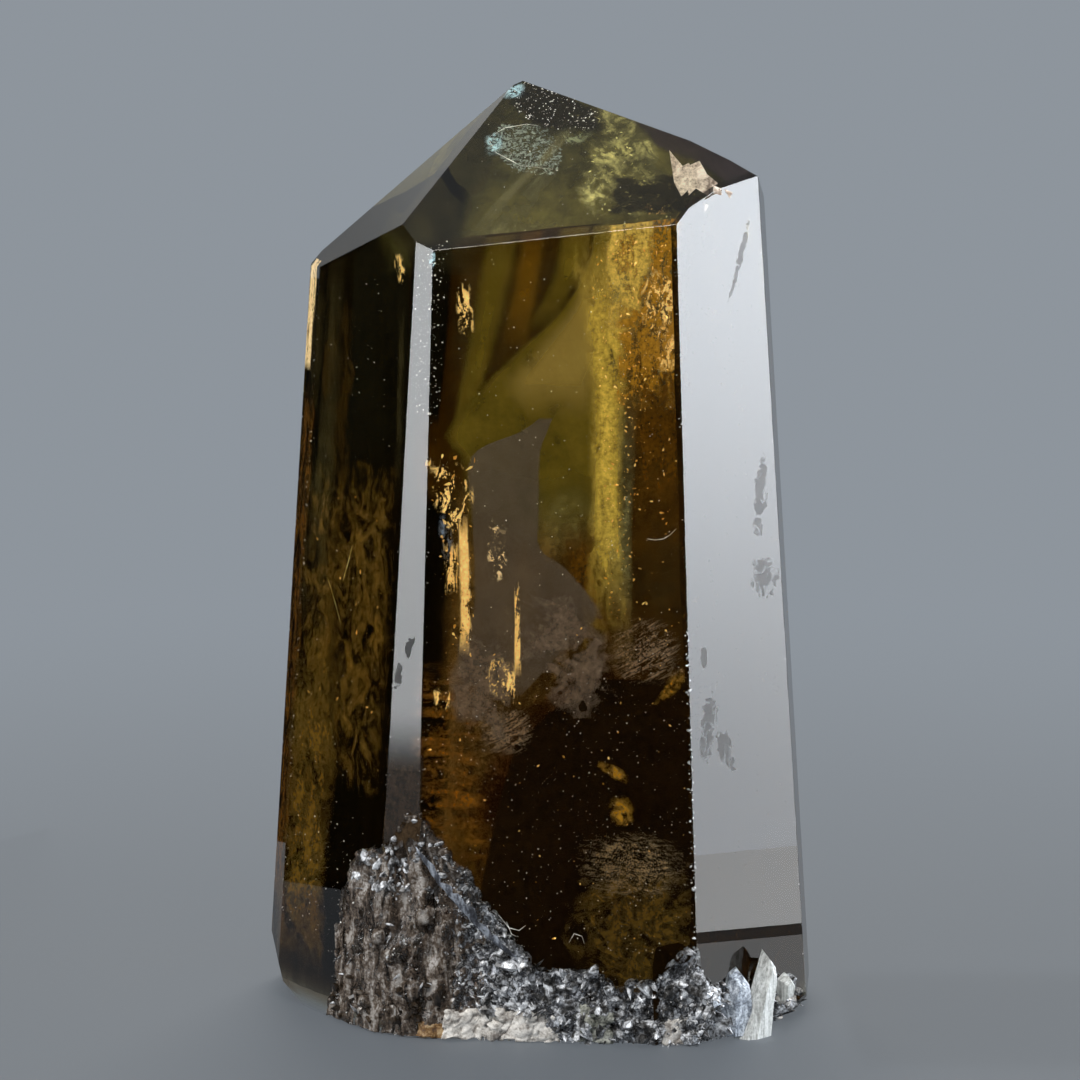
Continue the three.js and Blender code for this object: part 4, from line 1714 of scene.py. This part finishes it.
    def fibres(self) -> None:
        """Hair-fine pale needles, singly and in fans."""
        front, left, point = Side.FRONT, Side.LEFT, Side.POINT_FRONT
        table = [
            (front, WHITE_SPECK, 0.045, 0.3, [(-4.6, 20.6), (-3.0, 18.6), (-1.4, 18.2), (-0.4, 19.0)]),
            (front, WHITE_SPECK, 0.045, 0.4, [(-3.4, 19.6), (-2.6, 17.6), (-1.8, 17.2)]),
            (front, WHITE_SPECK, 0.05, 3,
             [(18.2, 79.3), (19.4, 79.1), (20.7, 79.3), (21.7, 79.9), (22.7, 80.9)]),
            (front, WHITE_SPECK, 0.04, 0.4, [(6.4, 16.4), (7.2, 17.8), (8.4, 17.4), (8.8, 16.2)]),
            (left, POINT_FLECK, 0.05, 3, [(-9.6, 70.0), (-8.2, 73.6), (-7.4, 76.0)]),
            (left, POINT_FLECK, 0.04, 4, [(-14.9, 70.0), (-12.4, 66.4), (-10.3, 63.0)]),
            (point, WHITE_SPECK, 0.06, 2.8, [(-6.8, 139.6), (-5.2, 137.4), (-0.9, 135.4), (4.4, 134.8)]),
            (point, WHITE_SPECK, 0.05, 2.8, [(-6.6, 139.8), (-4.4, 141.2), (-1.0, 141.8), (1.2, 141.5)]),
            (point, POINT_FLECK, 0.07, 3.8, [(6.4, 142.8), (8.6, 143.0), (10.6, 142.2), (10.0, 140.6)]),
        ]
        count, tip = 13, 0.25
        for index, (side, finish, width, depth, path) in enumerate(table):
            spots = [along_path(path, step / (count - 1)) for step in range(count)]
            points = [side.value.behind(across, up, depth) for across, up in spots]
            swell = [math.sin(math.pi * (step + 0.5) / count) for step in range(count)]
            mesh = tube_mesh(f"fibre_{index}", points, [width * (tip + (1 - tip) * s) for s in swell], 5)
            mesh.materials.append(finish.material())
            add_piece(f"fibre_{index}", mesh)

    def shards(self) -> None:
        """The angular cream shard and the bright chips by the right shoulder."""
        cream = StoneFinish(
            "cream_shard",
            ((0.0, (0.16, 0.11, 0.08)), (0.35, (0.45, 0.36, 0.28)), (1.0, (0.80, 0.70, 0.60))),
            patch=(2.2, 2.2, 2.2), grain=0.4, rough=(0.45, 0.8), relief=0.15, painted_glow=0.45,
        )
        outlines = [
            ("cream_shard", [(22.2, 137.2, 4.4), (24.4, 134.9, 3.6), (26.6, 136.2, 3.4), (28.2, 134.4, 3.2),
                             (30.2, 133.4, 3.0), (28.8, 131.2, 3.2), (26.4, 131.8, 3.8), (25.0, 130.2, 4.4),
                             (23.6, 132.2, 4.6)]),
            ("cream_chip_a", [(29.4, 133.6, 2.0), (31.0, 133.0, 1.8), (31.4, 132.0, 1.9),
                              (29.8, 132.2, 2.3)]),
            ("cream_chip_b", [(31.6, 132.9, 1.6), (33.0, 132.4, 1.5), (32.6, 131.5, 1.8)]),
            ("cream_chip_c", [(27.6, 130.8, 2.8), (29.2, 130.4, 2.6), (28.6, 129.4, 3.0)]),
        ]
        facet = Side.POINT_FRONT.value
        rise, depth = 0.3, 0.5
        for name, outline in outlines:
            rim = [facet.behind(*spot) for spot in outline]
            middle = sum(rim, Vector()) / len(rim)
            top, bottom = middle + facet.normal * rise * MM, middle - facet.normal * depth * MM
            count = len(rim)
            faces = []
            for i in range(count):
                faces += [(i, (i + 1) % count, count), ((i + 1) % count, i, count + 1)]
            mesh = new_mesh(name, [*rim, top, bottom], faces)
            turn_outwards(mesh)
            mesh.materials.append(cream.material())
            add_piece(name, mesh)


# ---- the natural foot ----


@dataclass
class NaturalFoot:
    """Small quartz points, cream rock and the pale blade on the broken front of the foot."""

    scatterer: Scatterer
    body: bpy.types.Object
    front_end: float = -60.0
    crust_root: float = 0.8
    groove: float = 0.2

    # Random tone from near-black to near-white; the whitest stops are partly the quartz's own tone and partly
    # painted highlights.
    glass_grey: StoneFinish = StoneFinish(
        "druse_grey",
        ((0.0, (0.006, 0.006, 0.006)), (0.32, (0.06, 0.056, 0.052)), (0.55, (0.26, 0.26, 0.265)),
         (0.9, (0.82, 0.83, 0.85))),
        patch=(2.2, 2.2, 2.2), grain=0.5, rough=(0.05, 0.35), relief=0.01, painted_glow=0.04, metal=0.1,
        speckle=0.25,
    )
    glass_brown: StoneFinish = StoneFinish(
        "druse_brown",
        ((0.0, (0.006, 0.004, 0.002)), (0.55, (0.05, 0.034, 0.022)), (0.85, (0.16, 0.13, 0.105)),
         (1.0, (0.5, 0.48, 0.46))),
        patch=(2.8, 2.8, 20.0), grain=0.9, rough=(0.03, 0.2), relief=0.01, painted_glow=0.02, metal=0.15,
        speckle=0.1,
    )
    glass_blue: StoneFinish = StoneFinish(
        "druse_blue",
        ((0.0, (0.09, 0.10, 0.12)), (0.45, (0.34, 0.38, 0.44)), (1.0, (0.82, 0.87, 0.93))),
        patch=(1.0, 1.0, 1.8), grain=0.3, rough=(0.1, 0.5), relief=0.06, painted_glow=0.06,
    )
    cream: StoneFinish = StoneFinish(
        "cream_rock",
        ((0.0, (0.22, 0.19, 0.165)), (0.4, (0.56, 0.52, 0.47)), (1.0, (0.90, 0.86, 0.80))),
        patch=(2.4, 2.4, 1.6), grain=0.35, rough=(0.6, 0.95), relief=0.12,
    )
    green_cream: StoneFinish = StoneFinish(
        "green_cream_rock",
        ((0.0, (0.06, 0.06, 0.05)), (0.4, (0.28, 0.28, 0.23)), (1.0, (0.62, 0.62, 0.55))),
        patch=(2.0, 2.0, 2.0), grain=0.35, rough=(0.5, 0.9), relief=0.12,
    )
    amber: StoneFinish = StoneFinish(
        "amber_rock",
        ((0.0, (0.05, 0.02, 0.005)), (0.5, (0.22, 0.11, 0.03)), (1.0, (0.5, 0.36, 0.2))),
        patch=(1.6, 1.6, 1.6), grain=0.35, rough=(0.3, 0.7), relief=0.1,
    )
    skin: StoneFinish = StoneFinish(
        "foot_skin",
        ((0.0, (0.008, 0.006, 0.004)), (0.4, (0.048, 0.033, 0.023)), (0.7, (0.11, 0.083, 0.062)),
         (1.0, (0.34, 0.31, 0.28))),
        patch=(2.0, 2.0, 7.0), grain=0.5, rough=(0.05, 0.3), relief=0.15, painted_glow=0.05, speckle=0.5,
        clear=0.44,
    )
    # Random tone; the whitest stop is partly the skin's own tone and partly painted highlights.
    cool_skin: StoneFinish = StoneFinish(
        "foot_cool_skin",
        ((0.0, (0.006, 0.006, 0.007)), (0.42, (0.05, 0.05, 0.055)), (0.68, (0.18, 0.185, 0.195)),
         (1.0, (0.62, 0.64, 0.68))),
        patch=(1.6, 1.6, 3.0), grain=0.4, rough=(0.05, 0.3), relief=0.15, painted_glow=0.06, speckle=0.7,
        clear=0.44,
    )
    ledge_grey: StoneFinish = StoneFinish(
        "ledge_grey",
        ((0.0, (0.02, 0.02, 0.022)), (0.5, (0.085, 0.09, 0.105)), (1.0, (0.36, 0.39, 0.44))),
        patch=(1.4, 1.4, 5.0), grain=0.5, rough=(0.08, 0.3), relief=0.04, painted_glow=0.02, metal=0.1, speckle=0.3,
    )
    blade_white: StoneFinish = StoneFinish(
        "blade_white",
        ((0.0, (0.36, 0.36, 0.34)), (0.45, (0.62, 0.63, 0.60)), (1.0, (0.88, 0.89, 0.86))),
        patch=(0.45, 0.45, 12.0), grain=0.5, rough=(0.3, 0.6), relief=0.05,
    )

    def build(self) -> None:
        """Makes the foot's pieces."""
        self.druse()
        self.rock()
        self.ledge()
        self.blade()

    def druse(self) -> None:
        """The crust of small quartz points."""
        grey, brown, blue = self.glass_grey, self.glass_brown, self.glass_blue
        table = [
            ((-13, 50), (0.3, 60), Scatter("druse_fine", "quartz", grey, 1.4, (0.4, 1.3), 65, 21)),
            ((-9, 50), (0.3, 16), Scatter("druse_points", "quartz", grey, 0.24, (1.2, 3.2), 55, 22)),
            ((-11, 50), (0.3, 45), Scatter("druse_splinters", "splinter", grey, 0.6, (0.8, 2.8), 80, 27)),
            ((-50, -12), (0.3, 8), Scatter("druse_left", "quartz", brown, 0.35, (0.5, 2.2), 60, 28)),
            ((-50, -12), (0.3, 45), Scatter("splinters_left", "splinter", grey, 0.10, (0.6, 2.4), 50, 29)),
            ((-50, -20), (23, 45), Scatter("druse_brink", "quartz", grey, 0.5, (0.6, 2.2), 60, 32)),
            ((-24, -9), (22, 45), Scatter("druse_peak", "quartz", grey, 0.35, (0.4, 1.7), 60, 30)),
            ((27.5, 33.5), (1.5, 13), Scatter("druse_blue", "quartz", blue, 1.4, (0.5, 1.7), 60, 24)),
            ((-50, 50), (0.6, 45), Scatter("druse_glints", "speck", WHITE_SPECK, 0.3, (0.12, 0.55), 90, 25)),
        ]
        for (left, right), (bottom, top), scatter in table:
            low, high = (left, self.front_end, bottom), (right, 0, top)
            carrier = natural_patch(self.body, scatter.name + "_carrier", low, high, True)
            self.scatterer.over(carrier, scatter)

    def rock(self) -> None:
        """The cream, greenish and amber rock that the foot grew on."""
        table = [
            ("brown_skin", (-44, -60, 0.2), (-8, 0, 50), self.skin, 0.3, 6),
            ("grey_skin", (-14, -60, 0.2), (56, 0, 34), self.cool_skin, 0.3, 7),
            ("cream_crust", (-15.5, -60, -0.1), (3.5, -20, 5.2), self.cream, 0.95, 1),
            ("green_crust", (6, -60, -0.1), (12, -20, 6.5), self.green_cream, 0.7, 2),
            ("amber_crust", (-19.5, -60, -0.1), (-14.5, -20, 3.2), self.amber, 0.4, 3),
            ("round_crust", (19, -60, -0.1), (23, -20, 4.6), self.cream, 0.8, 4),
            ("right_crust", (33.5, -60, -0.1), (44, 0, 4.5), self.cream, 0.5, 5),
        ]
        for name, low, high, finish, thick, seed in table:
            self.crust(name, low, high, finish, thick, seed)

    def crust(self, name: str, low: tuple, high: tuple, finish: StoneFinish, thick: float, seed: int) -> None:
        """Grows a lumpy closed crust on some of the natural faces.

        Args:
            name: the piece's name.
            low: the lowest corner of the box that holds the faces (mm).
            high: its highest corner (mm).
            finish: the crust's finish.
            thick: its thickness (mm).
            seed: moves its lumps.
        """
        patch = natural_patch(self.body, name + "_patch", low, high)
        if not patch.polygons:
            return
        work = bmesh.new()
        work.from_mesh(patch)
        every_way = {"use_axis_x": True, "use_axis_y": True, "use_axis_z": True}
        for _ in range(4):
            bmesh.ops.smooth_vert(work, verts=work.verts, factor=0.5, **every_way)
        work.normal_update()
        work.verts.index_update()
        middle = [(a + b) / 2 for a, b in zip(low, high)]
        outer, inner = [], []
        for vert in work.verts:
            place = vert.co / MM
            over = abs(place.x - middle[0]) / (0.5 * (high[0] - low[0]))
            rise = max(0.0, place.z - low[2]) / (high[2] - low[2])
            wave = noise.fractal(place * 0.42 + Vector((seed * 9.1, 0, 0)), 0.6, 2.1, 4)
            cover = 1.2 - over**4 - rise**4 + wave * 0.9
            fine = noise.fractal(place * 1.9, 0.7, 2.0, 3) * 0.3
            edge = 0.0 if any(e.is_boundary for e in vert.link_edges) else 1.0
            lift = edge * thick * (min(1.0, max(-0.6, cover * 1.8)) + fine)
            outer.append(vert.co + vert.normal * lift * MM)
            inner.append(vert.co - vert.normal * self.crust_root * MM)
        count = len(outer)
        faces = [tuple(v.index for v in f.verts) for f in work.faces]
        faces += [tuple(count + index for index in reversed(face)) for face in faces]
        for edge in work.edges:
            if edge.is_boundary:
                a, b = (v.index for v in edge.verts)
                faces.append((a, b, count + b, count + a))
        work.free()
        mesh = new_mesh(name, [*outer, *inner], faces)
        turn_outwards(mesh)
        keep_above_floor(mesh)
        shade_smooth(mesh)
        mesh.materials.append(finish.material())
        add_piece(name, mesh)

    def ledge(self) -> None:
        """The smooth grey ledge along the upper edge of the druse."""
        path = [
            (-17.8, 31.0), (-14.8, 27.0), (-12.0, 23.8), (-9.3, 20.8), (-6.4, 17.8), (-3.8, 15.4),
            (-1.8, 13.8),
        ]
        facet = Side.FRONT.value
        points, widths = [], []
        count = 30
        for step in range(count + 1):
            across, up = along_path(path, step / count)
            wave = noise.noise(Vector((across * 0.6, up * 0.6, 3.0)))
            points.append(facet.behind(across + 0.8 * wave, up + 0.9 * wave, 0.25 - 0.3 * wave))
            widths.append((0.6 + 0.9 * wave) * math.sin(math.pi * step / count) ** 0.6 + 0.06)
        mesh = tube_mesh("grey_ledge", points, widths, 10, 0.4)
        mesh.materials.append(self.ledge_grey.material())
        add_piece("grey_ledge", mesh)

    def blade(self) -> None:
        """The pale striated blade at the right of the foot, and the bluish lobe beside it."""
        blade = [(30.2, 0.0), (35.8, 0.0), (36.8, 4.0), (38.0, 9.5), (37.6, 11.8), (36.3, 13.4), (33.9, 7.4)]
        lobe = [(28.2, 0.6), (33.6, 0.4), (34.0, 5.0), (33.4, 8.8), (31.6, 11.0), (29.8, 10.2), (28.2, 6.4)]
        chip = [(38.4, 3.6), (40.4, 4.2), (40.9, 6.6), (39.8, 8.2), (38.5, 7.2)]
        self.slab("pale_blade", blade, -27.0, 2.2, 0.7, 40.0, self.blade_white)
        self.slab("blue_lobe", lobe, -28.0, 2.2, 1.0, 34.0, self.glass_blue)
        self.slab("white_chip", chip, -21.6, 2.0, 0.8, 24.0, self.blade_white)

    def slab(
        self,
        name: str,
        outline: list[tuple[float, float]],
        y: float,
        thick: float,
        ridge: float,
        lean: float,
        finish: StoneFinish,
    ) -> None:
        """Makes a flat upright crystal with a raised ridge down its face.

        Args:
            name: the piece's name.
            outline: its outline, as places across and up (mm), from the foot's left round to the right.
            y: where its middle lies between front and back (mm).
            thick: its thickness at the rim (mm).
            ridge: how far its face rises at the ridge (mm).
            lean: how far it is turned to the right (degrees).
            finish: its finish.
        """
        count = len(outline)
        turn = math.radians(lean)
        middle = Vector((sum(x for x, _ in outline) / count, sum(z for _, z in outline) / count))
        points = []
        for scale, depth in ((1.0, thick / 2), (0.8, -thick / 2), (0.55, -thick / 2 - ridge)):
            for x, z in outline:
                over = (x - middle.x) * scale
                high = middle.y + (z - middle.y) * (scale if z > 1.0 else 1.0)
                spot = Vector((middle.x + over * math.cos(turn), y + over * math.sin(turn), high))
                points.append((spot + Vector((math.sin(turn), -math.cos(turn), 0)) * -depth) * MM)
        faces: list[tuple[int, ...]] = [tuple(range(count)), tuple(range(2 * count, 3 * count))]
        for ring in range(2):
            for i in range(count):
                j = (i + 1) % count
                start, above = ring * count, (ring + 1) * count
                faces.append((start + i, start + j, above + j, above + i))
        mesh = new_mesh(name, points, faces)
        work = bmesh.new()
        work.from_mesh(mesh)
        bmesh.ops.triangulate(work, faces=work.faces)
        bmesh.ops.recalc_face_normals(work, faces=work.faces)
        bmesh.ops.subdivide_edges(work, edges=work.edges, cuts=3, use_grid_fill=True)
        for vert in work.verts:
            place = vert.co / MM
            groove = noise.noise(Vector((place.x * 2.4, place.y * 2.4, place.z * 0.2)))
            vert.co.y += self.groove * groove * MM
            vert.co.z = max(vert.co.z, 0.0)
        work.to_mesh(mesh)
        work.free()
        mesh.materials.append(finish.material())
        add_piece(name, mesh)


# ---- studio ----

CRYSTAL_MIDDLE = Vector((0, 0, 0.08))
COOL = (0.95, 0.98, 1.0)


class Stand(Enum):
    """How a card stands by the crystal."""

    UPRIGHT = "upright"
    TIPPED = "tipped towards the crystal"
    LYING = "lying flat"


@dataclass(frozen=True)
class Card:
    """A flat card beside the crystal, unseen by the camera: where it stands and its size (m)."""

    name: str
    centre: tuple[float, float, float]
    width: float
    height: float
    stand: Stand = Stand.UPRIGHT

    def put_up(self, material: bpy.types.Material) -> bpy.types.Object:
        """Makes the card, facing the crystal or lying flat.

        Args:
            material: what it is made of.

        Returns:
            The card.
        """
        centre = Vector(self.centre)
        turn = Matrix.Identity(4)
        if self.stand is not Stand.LYING:
            back = centre - CRYSTAL_MIDDLE
            if self.stand is Stand.UPRIGHT:
                back.z = 0.0
            turn = back.to_track_quat("Z", "Y").to_matrix().to_4x4()
        place = Matrix.Translation(centre) @ turn
        across, up = self.width / 2, self.height / 2
        corners = [Vector((x * across, y * up, 0)) for x, y in ((-1, -1), (1, -1), (1, 1), (-1, 1))]
        mesh = new_mesh(self.name, [place @ corner for corner in corners], [(0, 3, 2, 1)])
        mesh.materials.append(material)
        card = put_in_scene(self.name, mesh)
        card.visible_camera = False
        card.visible_shadow = False
        return card


@dataclass(frozen=True, kw_only=True)
class Panel(Card):
    """A soft light panel: its brightness at the bottom and top, and where it rises (m)."""

    dim: float
    bright: float
    rise: tuple[float, float] = (0.0, 1.0)
    tint: Colour
    fade: float = 0.0
    spares_floor: bool = True

    def build(self, spared: bpy.types.Collection) -> None:
        """Makes the panel.

        Args:
            spared: what the close panels do not light.
        """
        material, sheet = new_material(self.name)
        height = Value(sheet, sheet.raw("ShaderNodeSeparateXYZ", None, {0: sheet.place()}).outputs[2])
        strength = height.steps(*self.rise) * (self.bright - self.dim) + self.dim
        if self.fade:
            strength = strength * (height.steps(0.0, self.fade) * 0.94 + 0.06)
        sheet.shade("ShaderNodeEmission", {"Color": (*self.tint, 1), "Strength": strength})
        panel = self.put_up(material)
        panel.visible_diffuse = self.stand is not Stand.LYING
        panel.light_linking.receiver_collection = spared if self.spares_floor else None


@dataclass(frozen=True)
class Flag(Card):
    """A black card that keeps a facet's reflection dark."""

    def build(self) -> None:
        """Makes the card."""
        material, sheet = new_material(self.name)
        sheet.shade("ShaderNodeBsdfDiffuse", {"Color": (0.004, 0.004, 0.004, 1)})
        flag = self.put_up(material)
        flag.visible_diffuse = False
        flag.visible_transmission = False


@dataclass
class Studio:
    """Floor, light and camera."""

    floor_colour: Colour = (0.36, 0.375, 0.39)
    floor_half: float = 3.0
    floor_fade: tuple[float, float] = (0.05, 0.42)
    backdrop: Colour = (0.27, 0.30, 0.335)
    camera_elevation: float = 8.0
    camera_distance: float = 490.5
    aim: tuple[float, float, float] = (0.23, -1.57, 75.45)
    lens: float = 100.0

    def build(self) -> None:
        """Sets up the scene around the crystal."""
        self.world()
        floor = self.floor()
        self.lights(floor)
        self.camera()
        self.sampling()

    def world(self) -> None:
        """A plain grey backdrop."""
        world = bpy.data.worlds.new("backdrop")
        bpy.context.scene.world = world
        world.use_nodes = True
        sheet = NodeSheet(world.node_tree, "ShaderNodeOutputWorld")
        sheet.shade("ShaderNodeBackground", {"Color": (*self.backdrop, 1), "Strength": 1.0})

    def floor(self) -> bpy.types.Object:
        """A plain pale floor that runs into the backdrop."""
        half = self.floor_half
        corners = [(-half, -half, 0), (half, -half, 0), (half, half, 0), (-half, half, 0)]
        mesh = new_mesh("floor", corners, [(0, 1, 2, 3)])
        material, sheet = new_material("floor")
        matt = {"Base Color": (*self.floor_colour, 1), "Roughness": 0.55}
        surface = sheet.raw("ShaderNodeBsdfPrincipled", None, matt)
        haze = sheet.raw("ShaderNodeEmission", None, {"Color": (*self.backdrop, 1), "Strength": 1.0})
        place = sheet.raw("ShaderNodeVectorMath", {"operation": "LENGTH"}, {0: sheet.place()})
        away = Value(sheet, place.outputs["Value"]).steps(*self.floor_fade) * 0.65 + 0.35
        sheet.shade("ShaderNodeMixShader", {0: away, 1: surface.outputs[0], 2: haze.outputs[0]})
        mesh.materials.append(material)
        floor = put_in_scene("floor", mesh)
        return floor

    def lights(self, floor: bpy.types.Object) -> None:
        """The soft panels; the close ones don't light the floor.

        Args:
            floor: the floor.
        """
        for flag in (
            Flag("flag_front", (0.0, -0.62, 0.30), 0.62, 0.6),
            Flag("flag_low", (0.0, -0.36, 0.001), 0.30, 0.60, Stand.LYING),
            Flag("flag_left", (-0.142, 0.012, 0.12), 0.075, 0.24),
            Flag("flag_left_back", (-0.118, 0.088, 0.058), 0.06, 0.116),
        ):
            flag.build()
        spared = bpy.data.collections.new("spared_by_panels")
        spared.objects.link(floor)
        spared.collection_objects[0].light_linking.link_state = "EXCLUDE"
        for panel in (
            Panel("panel_right", (0.20, -0.01, 0.131), 0.11, 0.26,
                  dim=4.9, bright=12.6, rise=(0.0, 0.15), tint=(0.89, 0.945, 1.01)),
            Panel("panel_right_sill", (0.156, -0.01, 0.002), 0.09, 0.09, Stand.LYING,
                  dim=4.0, bright=4.0, tint=COOL),
            Panel("panel_right_step", (0.075, -0.015, 0.002), 0.05, 0.05, Stand.LYING,
                  dim=1.4, bright=1.4, tint=COOL),
            Panel("panel_front", (-0.16, -0.55, 0.85), 0.5, 0.4, Stand.TIPPED,
                  dim=9.0, bright=9.0, tint=(1.0, 0.985, 0.96)),
            Panel("panel_left", (-0.345, -0.20, 0.261), 0.10, 0.52,
                  dim=6.4, bright=8.6, rise=(0.0, 0.12), tint=COOL, fade=0.02),
            Panel("panel_back_left", (-0.42, 0.75, 0.42), 0.5, 0.5,
                  dim=0.28, bright=0.66, rise=(0.34, 0.46), tint=COOL, spares_floor=False),
            Panel("panel_top", (0.05, 0.62, 0.85), 0.6, 0.4, Stand.TIPPED,
                  dim=4.0, bright=4.0, tint=(1.0, 0.98, 0.95), spares_floor=False),
        ):
            panel.build(spared)

    def camera(self) -> None:
        """The camera, a little above the crystal's middle."""
        data = bpy.data.cameras.new("camera")
        data.lens = self.lens
        data.sensor_width = 36.0
        data.clip_start = 0.01
        camera = put_in_scene("camera", data)
        rise = math.radians(self.camera_elevation)
        aim = Vector(self.aim) * MM
        back = Vector((0, -math.cos(rise), math.sin(rise)))
        camera.location = aim + back * self.camera_distance * MM
        camera.rotation_euler = back.to_track_quat("Z", "Y").to_euler()
        bpy.context.scene.camera = camera

    def sampling(self) -> None:
        """Bounces enough for a clear, many-faceted solid, and a plain tone curve."""
        scene = bpy.context.scene
        scene.cycles.max_bounces = 24
        scene.cycles.transmission_bounces = 20
        scene.cycles.glossy_bounces = 8
        scene.cycles.transparent_max_bounces = 48
        scene.view_settings.view_transform = "Standard"
        scene.view_settings.look = "None"


def main() -> None:
    """Builds the crystal and its studio."""
    logging.basicConfig(level=logging.INFO, format="%(message)s")
    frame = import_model()
    body = CrystalBody().build(frame)
    scatterer = Scatterer()
    Inclusions(scatterer).build()
    NaturalFoot(scatterer, body).build()
    Studio().build()


if __name__ == "__main__":
    main()
